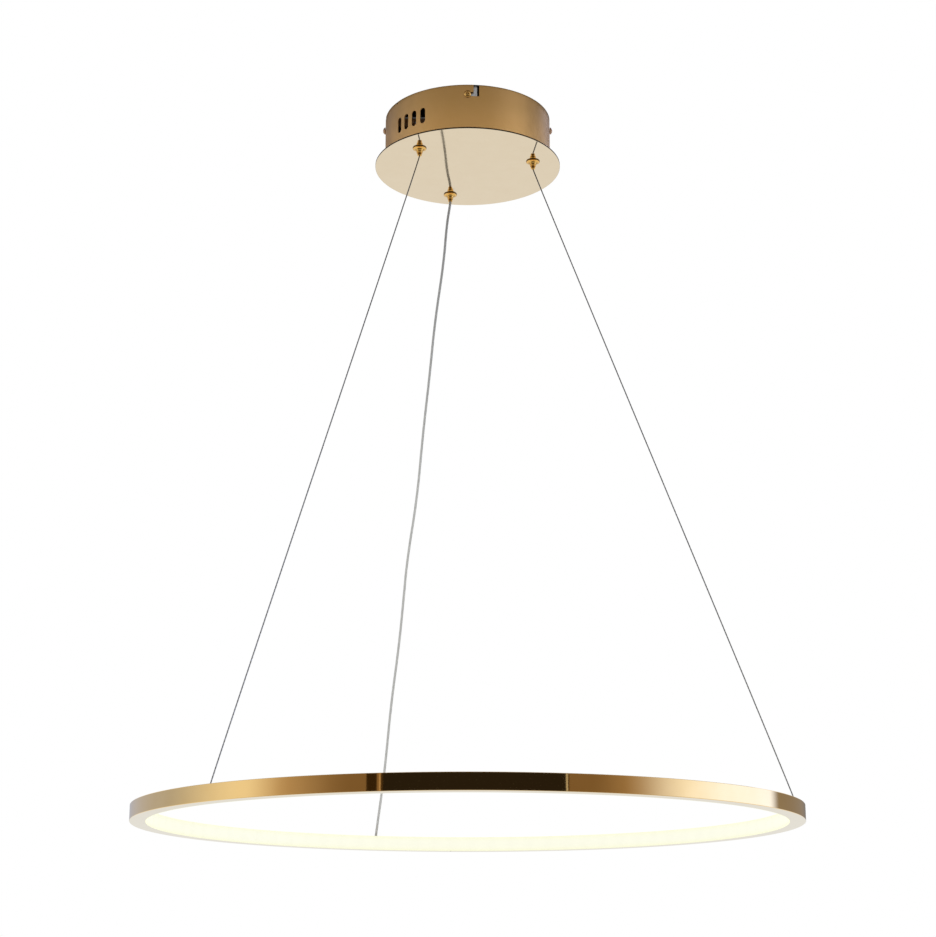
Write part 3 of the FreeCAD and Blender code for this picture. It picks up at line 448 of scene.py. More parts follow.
@dataclass(frozen=True)
class Winding(Finish):
    """A taped transformer winding between dark ferrite halves."""

    def paint(self, bench: Bench) -> None:
        """Amber tape bands over wire ridges in the middle, ferrite above and below."""
        _, _, z, here = bench.place()
        wraps = (z * (2.0 * math.pi / (0.8 * MM))).sin() * 0.5 + 0.5
        core = (z + 38.0 * MM).abs().step(4.2 * MM, 4.6 * MM)
        cloud = bench.noise(here, 1.0 / (3.0 * MM), 4.0)
        tape = bench.blend(cloud, (0.70, 0.42, 0.07), (0.52, 0.27, 0.04))
        tone = bench.blend(core, tape, (0.06, 0.06, 0.065))
        bench.surface(Base_Color=tone, Roughness=cloud * 0.25 + 0.3,
                      Normal=bench.bump(wraps * (1.0 - core), 0.10 * MM))


GOLD = (0.84, 0.585, 0.25)
GOLD_DEEP = (0.80, 0.54, 0.215)
CHAMPAGNE = (0.71, 0.60, 0.43)
CHAMPAGNE_DEEP = (0.69, 0.575, 0.405)
ZINC = (0.66, 0.67, 0.68)
ZINC_DEEP = (0.52, 0.53, 0.55)
BRASS = (0.80, 0.57, 0.27)
BRASS_DEEP = (0.70, 0.47, 0.20)


def zinc(name: str, roughness: float = 0.3, smudge: float = 0.12, lay: Lay = Lay.CLOUD) -> Metal:
    """Zinc-plated steel."""
    return Metal(name, ZINC, ZINC_DEEP, roughness=roughness, smudge=smudge, lay=lay)


# ---------------------------------------------------------------------------- surfaces


@dataclass
class Surface:
    """Points and faces of one piece before it becomes an object."""

    points: np.ndarray
    faces: list[list[int]]
    marks: dict[str, np.ndarray] = field(default_factory=dict)

    def moved(self, turn: np.ndarray, offset: Sequence[float] = (0.0, 0.0, 0.0)) -> "Surface":
        """Every point turned by a 3 x 3 matrix, then shifted."""
        return Surface(self.points @ turn.T + np.asarray(offset), self.faces, self.marks)

    def plus(self, *others: "Surface") -> "Surface":
        """This surface and others as one, with their faces renumbered."""
        points, faces = [self.points], list(self.faces)
        marks = {key: [value] for key, value in self.marks.items()}
        count = len(self.points)
        for other in others:
            points.append(other.points)
            faces += [[index + count for index in face] for face in other.faces]
            for key in marks:
                marks[key].append(other.marks[key])
            count += len(other.points)
        return Surface(np.vstack(points), faces,
                       {key: np.concatenate(value) for key, value in marks.items()})


def quads(low: np.ndarray, high: np.ndarray) -> list[list[int]]:
    """Faces between rows of point numbers that close on themselves and the rows above them."""
    corners = [low, np.roll(low, -1, -1), np.roll(high, -1, -1), high]
    return np.stack(corners, axis=-1).reshape(-1, 4).tolist()


def lathe(profile: Sequence[tuple[float, float]], segments: int,
          centre: tuple[float, float] = (0.0, 0.0), closed: bool = False) -> Surface:
    """A profile turned about a vertical axis.

    The point of row i and column j is centre + radius_i * (cos a_j, sin a_j) at height_i, where the
    a_j share the full turn equally. A row of radius 0 becomes one pole point.

    Args:
        profile: (radius, height) pairs; seen with the axis on the left they run anticlockwise.
        segments: Columns round the axis.
        centre: The axis in the plan.
        closed: Whether the last row joins the first.

    Returns:
        The closed surface.
    """
    rows = np.asarray(profile, float)
    angle = np.linspace(0.0, 2.0 * math.pi, segments, endpoint=False)
    circle = np.stack([np.cos(angle), np.sin(angle)], axis=1)
    pole = rows[:, 0] < 1e-9
    sizes = np.where(pole, 1, segments)
    starts = np.concatenate([[0], np.cumsum(sizes)[:-1]])
    points = [np.column_stack([np.asarray(centre) + radius * (circle[:1] * 0 if flat else circle),
                               np.full(1 if flat else segments, height)])
              for (radius, height), flat in zip(rows, pole)]
    index = starts[:, None] + np.where(pole[:, None], 0, np.arange(segments)[None, :])
    low = index if closed else index[:-1]
    high = np.roll(index, -1, axis=0) if closed else index[1:]
    faces = [list(dict.fromkeys(face)) for face in quads(low, high)]
    return Surface(np.vstack(points), [face for face in faces if len(face) > 2])


def slab(outline: np.ndarray, low: float, high: float) -> Surface:
    """A flat outline carried straight up: two caps and one wall."""
    count = len(outline)
    points = np.vstack([np.column_stack([outline, np.full(count, z)]) for z in (low, high)])
    ring = np.arange(count)
    return Surface(points, [ring[::-1].tolist(), (ring + count).tolist(), *quads(ring, ring + count)])


def drill(radius: float, low: float, high: float, middle: Sequence[float], segments: int) -> Surface:
    """A cutter for an upright round hole about a middle in the plan."""
    return lathe([(0.0, low), (radius, low), (radius, high), (0.0, high)], segments, middle[:2])


def rounds(radius: float, step: float, *heights: float) -> np.ndarray:
    """Points on a circle about Z, a step in degrees apart, once at each height."""
    turn = np.radians(np.arange(0.0, 360.0, step))
    return np.vstack([np.column_stack([radius * np.sin(turn), -radius * np.cos(turn),
                                       np.full(len(turn), height)]) for height in heights])


def pill(width: float, length: float, steps: int = 12) -> np.ndarray:
    """Outline of a slot with half-round ends, standing along its second axis."""
    half = np.linspace(0.0, math.pi, steps)
    radius, straight = width / 2.0, (length - width) / 2.0
    top = np.column_stack([radius * np.cos(half), radius * np.sin(half) + straight])
    return np.vstack([top, -top])


def turn_z(azimuth: float) -> np.ndarray:
    """The turn that takes the front (-Y) to an azimuth in degrees."""
    angle = math.radians(azimuth)
    return np.array([[math.cos(angle), -math.sin(angle), 0.0],
                     [math.sin(angle), math.cos(angle), 0.0], [0.0, 0.0, 1.0]])


FACE_FRONT = np.array([[1.0, 0.0, 0.0], [0.0, 0.0, -1.0], [0.0, 1.0, 0.0]])
"""Takes a shape drawn in X and Y with depth along Z to one that faces the front, with Y up."""


def bezier(ends: Sequence[tuple[float, float]], steps: int) -> list[tuple[float, float]]:
    """Points of the cubic Bezier curve with four given control points."""
    a, b, c, d = (np.asarray(point, float) for point in ends)
    t = np.linspace(0.0, 1.0, steps)[:, None]
    curve = (1 - t) ** 3 * a + 3 * t * (1 - t) ** 2 * b + 3 * t ** 2 * (1 - t) * c + t ** 3 * d
    return [tuple(point) for point in curve.tolist()]


def arc(middle: tuple[float, float], radius: float, start: float, end: float,
        steps: int) -> list[tuple[float, float]]:
    """Points on a circle in the profile's plane, between two angles in degrees."""
    angle = np.radians(np.linspace(start, end, steps))
    return list(zip((middle[0] + radius * np.cos(angle)).tolist(),
                    (middle[1] + radius * np.sin(angle)).tolist()))


@dataclass(frozen=True)
class Route:
    """A line's path: control points of a smooth NURBS spline."""

    points: tuple[Triple, ...]

    def samples(self, per_span: int) -> np.ndarray:
        """Points read from the spline, which Blender works out for a curve with no bevel."""
        data = bpy.data.curves.new("route", "CURVE")
        data.dimensions = "3D"
        spline = data.splines.new("NURBS")
        spline.points.add(len(self.points) - 1)
        for target, point in zip(spline.points, self.points):
            target.co = (*point, 1.0)
        spline.order_u = 3
        spline.use_endpoint_u = True
        spline.resolution_u = per_span
        carrier = bpy.data.objects.new("route", data)
        bpy.context.collection.objects.link(carrier)
        line = bpy.data.meshes.new_from_object(carrier)
        found = np.zeros(len(line.vertices) * 3)
        line.vertices.foreach_get("co", found)
        bpy.data.objects.remove(carrier)
        bpy.data.curves.remove(data)
        bpy.data.meshes.remove(line)
        found = found.reshape(-1, 3)
        keep = np.concatenate([[True], np.linalg.norm(np.diff(found, axis=0), axis=1) > 1e-7])
        return found[keep]


def evenly(path: np.ndarray, count: int) -> tuple[np.ndarray, np.ndarray]:
    """A path's points read again at equal distances, and the distance of each."""
    steps = np.linalg.norm(np.diff(path, axis=0), axis=1)
    run = np.concatenate([[0.0], np.cumsum(steps)])
    at = np.linspace(0.0, run[-1], count)
    return np.column_stack([np.interp(at, run, path[:, axis]) for axis in range(3)]), at


def frames(path: np.ndarray) -> tuple[np.ndarray, np.ndarray]:
    """Two unit vectors square to the path at each point, steady along it.

    The path bends in or near one upright plane, so the first vector is the level direction square to
    the chord, made square to each tangent, and the second is tangent x first.
    """
    tangent = np.gradient(path, axis=0)
    tangent /= np.linalg.norm(tangent, axis=1)[:, None]
    chord = path[-1] - path[0]
    level = np.array([-chord[1], chord[0], 0.0])
    if np.linalg.norm(level) < 1e-9:
        level = np.array([1.0, 0.0, 0.0])
    first = level - (tangent @ level)[:, None] * tangent
    first /= np.linalg.norm(first, axis=1)[:, None]
    return first, np.cross(tangent, first)


def tube(path: np.ndarray, section: Callable[[np.ndarray, np.ndarray], np.ndarray], count: int,
         sides: int) -> Surface:
    """A skin carried along a path.

    Point (i, j) is path_i + r_ij * (cos a_j * first_i + sin a_j * second_i), where the section gives
    r_ij from the distance along the path and the angle a_j. Each end closes to one middle point.

    Args:
        path: Points that the skin follows.
        section: Radius from distance (column) and angle (row).
        count: Stations along the path.
        sides: Points round it.

    Returns:
        The closed skin.
    """
    line, at = evenly(path, count)
    first, second = frames(line)
    angle = np.linspace(0.0, 2.0 * math.pi, sides, endpoint=False)
    radius = section(at[:, None], angle[None, :])
    skin = (line[:, None, :] + (radius * np.cos(angle))[..., None] * first[:, None, :]
            + (radius * np.sin(angle))[..., None] * second[:, None, :]).reshape(-1, 3)
    index = np.arange(count * sides).reshape(count, sides)
    start, end = count * sides, count * sides + 1
    ring = np.arange(sides)
    after = np.roll(ring, -1)
    caps = [[start, b, a] for a, b in zip(ring.tolist(), after.tolist())]
    caps += [[end, a, b] for a, b in zip(index[-1].tolist(), np.roll(index[-1], -1).tolist())]
    return Surface(np.vstack([skin, line[:1], line[-1:]]), quads(index[:-1], index[1:]) + caps)


def plain(radius: float) -> Callable[[np.ndarray, np.ndarray], np.ndarray]:
    """A tube's section that is the same circle everywhere."""
    return lambda at, angle: np.full(np.broadcast(at, angle).shape, radius)


def rope(path: np.ndarray, radius: float, strands: int, lay_length: float,
         per_turn: int = 8) -> Surface:
    """A wire rope's outside: the hull of round strands that wind about the path.

    Strands of radius s lie on a circle of radius - s, so a ray at angle d from a strand's middle
    meets it at c cos d + sqrt(s^2 - c^2 sin^2 d) with c = radius - s. The angle that a strand has
    turned grows with the distance along the path. The marks say how proud each point stands, and
    where it lies on its strand's own wires.
    """
    length = np.linalg.norm(np.diff(path, axis=0), axis=1).sum()
    count = int(per_turn * length / lay_length) + 2
    sides = strands * 6
    strand = radius * math.sin(math.pi / strands) / (1.0 + math.sin(math.pi / strands))
    centre = radius - strand

    def section(at: np.ndarray, angle: np.ndarray) -> np.ndarray:
        """The hull's radius, never under the hollows between the strands."""
        pitch = 2.0 * math.pi / strands
        away = np.mod(angle - at * (2.0 * math.pi / lay_length) + pitch / 2, pitch) - pitch / 2
        inside = np.maximum(strand ** 2 - (centre * np.sin(away)) ** 2, 0.0)
        return np.maximum(centre * np.cos(away) + np.sqrt(inside), 0.72 * radius)

    made = tube(path, section, count, sides)
    at = np.linspace(0.0, length, count)[:, None]
    angle = np.linspace(0.0, 2.0 * math.pi, sides, endpoint=False)[None, :]
    proud = (section(at, angle) / radius - 0.72) / 0.28
    wire = (angle - at * (2.0 * math.pi / lay_length)) * strands / (2.0 * math.pi) * 3.0
    made.marks = {"proud": np.append(proud.ravel(), [0.5, 0.5]),
                  "wire": np.append(wire.ravel(), [0.0, 0.0])}
    return made


# ---------------------------------------------------------------------------- pieces


class Maker:
    """Turns surfaces into objects that ride on the frame."""

    @staticmethod
    def mesh(name: str, surface: Surface) -> bpy.types.Object:
        """An object at the origin with the surface as its mesh, smooth shaded."""
        mesh = bpy.data.meshes.new(name)
        mesh.from_pydata(surface.points.tolist(), [], surface.faces)
        mesh.update()
        mesh.polygons.foreach_set("use_smooth", np.ones(len(mesh.polygons), bool))
        for key, values in surface.marks.items():
            attribute = mesh.attributes.new(key, "FLOAT", "POINT")
            attribute.data.foreach_set("value", np.asarray(values, np.float32))
        made = bpy.data.objects.new(name, mesh)
        bpy.context.collection.objects.link(made)
        return made

    @staticmethod
    def cut(piece: bpy.types.Object, cutters: Surface) -> None:
        """Take the cutters' volume out of a piece and keep the result as its mesh."""
        tool = Maker.mesh("cutter", cutters)
        step = piece.modifiers.new("cut", "BOOLEAN")
        step.operation = "DIFFERENCE"
        step.solver = "EXACT"
        step.object = tool
        graph = bpy.context.evaluated_depsgraph_get()
        result = bpy.data.meshes.new_from_object(piece.evaluated_get(graph))
        piece.modifiers.remove(step)
        old, piece.data = piece.data, result
        bpy.data.meshes.remove(old)
        spent = tool.data
        bpy.data.objects.remove(tool)
        bpy.data.meshes.remove(spent)

    @staticmethod
    def soften(piece: bpy.types.Object, width: float, steps: int = 2, angle: float = 35.0) -> None:
        """Round the edges and keep the flat and turned faces true."""
        bevel = piece.modifiers.new("edges", "BEVEL")
        bevel.width = width
        bevel.segments = steps
        bevel.limit_method = "ANGLE"
        bevel.angle_limit = math.radians(angle)
        bevel.use_clamp_overlap = True
        Maker.true_faces(piece)

    @staticmethod
    def true_faces(piece: bpy.types.Object) -> None:
        """Let large faces rule the shading, so that edges don't bend their reflections."""
        weighted = piece.modifiers.new("shading", "WEIGHTED_NORMAL")
        weighted.mode = "FACE_AREA"
        weighted.weight = 80

    @staticmethod
    def settle(piece: bpy.types.Object, finish: Finish, body: str, slot: str,
               *nodes: str) -> bpy.types.Object:
        """Finish a piece: its material, its body and the nodes it stands for."""
        piece.data.materials.clear()
        piece.data.materials.append(finish.material())
        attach(piece, body)
        if nodes:
            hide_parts(*nodes)
        LOG.info("%s rides on %s: %d faces", piece.name, body, len(piece.data.polygons))
        return piece

    @staticmethod
    def dress(finish: Finish, *nodes: str) -> None:
        """Give CAD nodes that keep their shape a finish."""
        for name in nodes:
            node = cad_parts[name]
            node.data.materials.clear()
            node.data.materials.append(finish.material())
            LOG.info("%s keeps its shape", name)


FULL = 3.0
"""The brightest light of the set, which its colours are measured by."""


def _light(level: float, warmth: float) -> Triple:
    """A light's colour as a share of the brightest: browner with warmth above 0, bluer below."""
    green, blue = (-0.34, -0.64) if warmth > 0.0 else (-0.27, -1.2)
    return (level / FULL, level / FULL * (1.0 + green * warmth), level / FULL * (1.0 + blue * warmth))


@dataclass(frozen=True)
class Panel:
    """An upright panel of the set with soft edges; without an end it covers the set from its start on."""

    start: float
    edge: float
    level: float
    warmth: float
    end: Optional[float] = None

    def over(self, bench: Bench, azimuth: Signal, tone: Any) -> Signal:
        """The set's tone with this panel in front of it."""
        share = azimuth.step(self.start - self.edge, self.start + self.edge)
        if self.end is not None:
            share = share * azimuth.step(self.end + self.edge, self.end - self.edge)
        return bench.blend(share, tone, _light(self.level, self.warmth))


BEHIND = -200.0
"""A start behind the object, so that the panel goes all the way round."""

LOWER_PANELS = (
    Panel(BEHIND, 5.0, 0.45, -0.1), Panel(-155.0, 20.0, 0.55, -0.25), Panel(-93.0, 22.0, 1.05, 0.0),
    Panel(-66.0, 10.0, 0.60, 0.6), Panel(-50.0, 15.0, 0.24, 0.95), Panel(46.0, 8.0, 0.40, 0.8),
    Panel(62.0, 14.0, 1.20, -0.5), Panel(80.0, 10.0, 1.28, -1.0), Panel(117.5, 4.0, 0.31, 0.3),
    Panel(155.0, 10.0, 0.20, 0.1), Panel(175.0, 5.0, 0.45, -0.1))
"""Level with the ring, from the back on the left: wall, paler wall, soft light, amber screen, dark
front, amber screen, large light, its core, dim wall, dark corner, wall."""

SIDE_PANELS = (Panel(BEHIND, 5.0, 1.0, 0.0), Panel(-53.0, 18.0, 0.11, 1.0), Panel(53.0, 18.0, 1.0, 0.0))
"""Between the ring and the canopy: pale, dark in front, and pale again."""

UPPER_PANELS = (
    Panel(BEHIND, 5.0, 0.57, -0.3), Panel(-65.0, 25.0, 0.70, 0.0), Panel(45.0, 20.0, 0.85, -0.2),
    Panel(88.0, 12.0, 0.50, -0.3), Panel(128.0, 10.0, 1.20, -0.7), Panel(168.0, 10.0, 0.57, -0.3))
"""Level with the canopy: wall, front light, right light, gap, back light, wall."""

FRONT_LEFT, FRONT_RIGHT = -30.85, 31.05
"""The azimuths between which the dark screen behind the camera stands."""

STRIPS = (
    Panel(FRONT_LEFT, 0.06, 0.024, 0.6, FRONT_RIGHT), Panel(FRONT_LEFT, 0.06, 0.039, 1.2, -26.0),
    Panel(-27.55, 0.25, 0.27, 1.0, -26.40), Panel(-26.80, 0.06, 0.58, 0.8, -26.40),
    Panel(-26.35, 0.20, 0.07, 1.2, -25.75), Panel(30.05, 0.06, 0.58, 0.1, 30.60),
    Panel(30.70, 0.05, 0.09, 1.3, FRONT_RIGHT))
"""The dark screen, its brown left wing with a grey, a bright and a dark strip, and the bright and the
brown strip at its right edge. Their places and levels were measured on the photograph."""

SLOT_LIGHT = (0.07, 0.6)
TOP_LIGHT = (0.4, 0.2)
FOOT_COLOUR = (0.83, 0.885, 0.925)
"""Level and warmth of the dark gap over the canopy's lights and of the set's top, and the colour of
its foot."""


@dataclass
class Studio:
    """The camera at the photograph's angle, soft lamps, a pale floor and the set around."""

    eye: Triple = (0.00037, -1.7638, -0.8485)
    pitch: float = 15.53
    lens: float = 74.45
    floor_z: float = -1.15
    wall_radius: float = 3.2
    wall_low: float = -1.14
    wall_high: float = 2.6
    # The ceiling patch is painted shade: a dark disc for the shaded ceiling inside the canopy, widened by
    # the nick behind the rim's notch.
    patch_radius: float = 78.3 * MM
    shade_radius: float = 84.5 * MM
    nick: tuple[float, float] = (-65.0, -55.0)
    nick_reach: float = 1.4 * MM
    patch_z: float = 0.4 * MM
    patch_shade: float = 0.84
    sky: float = 0.72
    floor_side: float = 30.0
    floor_glow: float = 0.80
    floor_turns_dark: tuple[float, float] = (-0.30, -0.60)
    sides_from: tuple[float, float] = (-0.15, 0.05)
    upper_from: tuple[float, float] = (0.85, 0.95)
    slot_from: tuple[float, float] = (1.25, 1.32)
    slot_to: tuple[float, float] = (1.60, 1.68)
    foot_to: tuple[float, float] = (-0.56, -0.62)

    def shoot(self) -> None:
        """Place the camera."""
        data = bpy.data.cameras.new("camera")
        data.sensor_fit = "VERTICAL"
        data.sensor_height = 36.0
        data.lens = self.lens
        camera = bpy.data.objects.new("camera", data)
        camera.location = self.eye
        camera.rotation_euler = (math.radians(90.0 + self.pitch), 0.0, 0.0)
        bpy.context.collection.objects.link(camera)
        bpy.context.scene.camera = camera
        bpy.context.scene.view_settings.view_transform = "Standard"

    def light(self) -> None:
        """World and lamps at a plain level."""
        world = bpy.data.worlds.new("studio")
        world.use_nodes = True
        bpy.context.scene.world = world
        bench = Bench(world.node_tree)
        seen = bench.rays("Camera", "Glossy", "Transmission")
        shade = bench.node("ShaderNodeBackground", {}, {"Color": (1.0, 1.0, 1.0),
                                                        "Strength": seen * (1.0 - self.sky) + self.sky})
        bench.node("ShaderNodeOutputWorld", {}, {"Surface": shade})
        for name, place, size, power in (
                ("key", (-1.6, -1.8, 0.9), 1.4, 16.0), ("fill", (1.9, -1.2, 0.2), 1.6, 9.0),
                ("top", (0.3, 0.9, 1.7), 1.8, 14.0)):
            data = bpy.data.lights.new(name, "AREA")
            data.size = size
            data.energy = power
            lamp = bpy.data.objects.new(name, data)
            lamp.location = place
            lamp.visible_glossy = False
            aim = np.asarray((0.0, 0.0, -0.4)) - np.asarray(place)
            flat = math.hypot(aim[0], aim[1])
            lamp.rotation_euler = (math.atan2(flat, -aim[2]), 0.0, math.atan2(aim[1], aim[0]) - math.pi / 2)
            bpy.context.collection.objects.link(lamp)

    def build(self) -> None:
        """Make the floor, the set's walls and the patch of painted shade on the ceiling inside the canopy.
        """
        side = self.floor_side
        corners = np.array([[-side, -side], [side, -side], [side, side], [-side, side]])
        floor = Maker.mesh("floor", Surface(
            np.column_stack([corners, np.full(4, self.floor_z)]), [[0, 1, 2, 3]]))
        floor.data.materials.append(self._floor_material())
        points = rounds(self.wall_radius, 2.0, self.wall_low, self.wall_high)
        ring = np.arange(len(points) // 2)
        above = ring + len(ring)
        faces = [face[::-1] for face in quads(ring, above)] + [above.tolist()]
        walls = Maker.mesh("set_walls", Surface(points, faces))
        walls.data.materials.append(self._wall_material())
        for ray in ("camera", "diffuse", "shadow", "transmission", "volume_scatter"):
            setattr(walls, f"visible_{ray}", False)
        patch = Maker.mesh("ceiling_patch", self._patch())
        patch.data.materials.append(self._patch_material())

    def _patch(self) -> Surface:
        """A disc of ceiling in painted shade just over the canopy's rim."""
        points = rounds(self.shade_radius, 1.5, self.patch_z)
        return Surface(points, [list(range(len(points)))])

    def _floor_material(self) -> bpy.types.Material:
        """Plain pale floor: white to the camera and in metal, with the object's shadow kept."""
        made, bench = blank("floor_paper")
        _, y, _, here = bench.place()
        fibre = bench.noise(here, 40.0, 3.0)
        tone = bench.blend(fibre, (0.80, 0.80, 0.80), (0.83, 0.83, 0.83))
        paper = bench.node("ShaderNodeBsdfDiffuse", {}, {"Color": tone})
        polished = bench.rays("Glossy")
        ahead = y.step(*self.floor_turns_dark)
        light = bench.blend(ahead * polished, (1.0, 1.0, 1.0), (0.12, 0.10, 0.08))
        glow = bench.node("ShaderNodeEmission", {}, {"Color": light, "Strength": 1.0})
        share = polished.largest(bench.rays("Camera", "Transmission") * self.floor_glow)
        mixed = bench.node("ShaderNodeMixShader", {}, {0: share, 1: paper, 2: glow})
        below = bench.node("ShaderNodeNewGeometry", {}, {}, "Backfacing")
        clear = bench.node("ShaderNodeBsdfTransparent", {}, {})
        mixed = bench.node("ShaderNodeMixShader", {}, {0: below, 1: mixed, 2: clear})
        bench.node("ShaderNodeOutputMaterial", {}, {"Surface": mixed})
        return made

    @staticmethod
    def _round(bench: Bench, azimuth: Signal, panels: Sequence[Panel]) -> Any:
        """The light that comes from each azimuth when panels stand one over the other."""
        tone: Any = _light(panels[0].level, panels[0].warmth)
        for panel in panels[1:]:
            tone = panel.over(bench, azimuth, tone)
        return tone

    def _wall_material(self) -> bpy.types.Material:
        """What polished metal sees round about: dark behind the camera, soft lights at the sides."""
        made, bench = blank("set_walls")
        x, y, z, _ = bench.place()
        azimuth = x.azimuth_of(0.0 - y) * (180.0 / math.pi)
        band = self._round(bench, azimuth, LOWER_PANELS + STRIPS)
        sides = self._round(bench, azimuth, SIDE_PANELS)
        upper = self._round(bench, azimuth, UPPER_PANELS)
        tone = bench.blend(z.step(*self.sides_from), band, sides)
        tone = bench.blend(z.step(*self.upper_from), tone, upper)
        tone = bench.blend(z.step(*self.slot_from), tone, _light(*SLOT_LIGHT))
        tone = bench.blend(z.step(*self.slot_to), tone, upper)
        tone = bench.blend(z.step(self.wall_high - 0.02, self.wall_high - 0.01), tone, _light(*TOP_LIGHT))
        tone = bench.blend(z.step(*self.foot_to), tone, tuple(c / FULL for c in FOOT_COLOUR))
        glow = bench.node("ShaderNodeEmission", {}, {"Color": tone, "Strength": FULL})
        bench.node("ShaderNodeOutputMaterial", {}, {"Surface": glow})
        return made

    def _patch_material(self) -> bpy.types.Material:
        """Ceiling in painted shade seen from below, clear from above, and a shade for the light from above.
        """
        made, bench = blank("ceiling_patch")
        seen = bench.rays("Camera")
        below = bench.node("ShaderNodeNewGeometry", {}, {}, "Backfacing")
        dark = bench.node("ShaderNodeBsdfDiffuse", {}, {"Color": (0.012, 0.010, 0.008)})
        clear = bench.node("ShaderNodeBsdfTransparent", {}, {})
        x, y, *_ = bench.place()
        azimuth = x.azimuth_of(0.0 - y) * (180.0 / math.pi)
        start, end = self.nick
        # The painted shade reaches further out behind the rim's notch, so the notch looks dark.
        bulge = azimuth.step(start - 1.0, start) * azimuth.step(end + 1.0, end) * self.nick_reach
        inside = ((x * x + y * y) ** 0.5 - bulge).step(self.patch_radius + 0.1 * MM, self.patch_radius)
        share = seen * below * inside + (1.0 - seen) * self.patch_shade
        mixed = bench.node("ShaderNodeMixShader", {}, {0: share, 1: clear, 2: dark})
        bench.node("ShaderNodeOutputMaterial", {}, {"Surface": mixed})
        return made


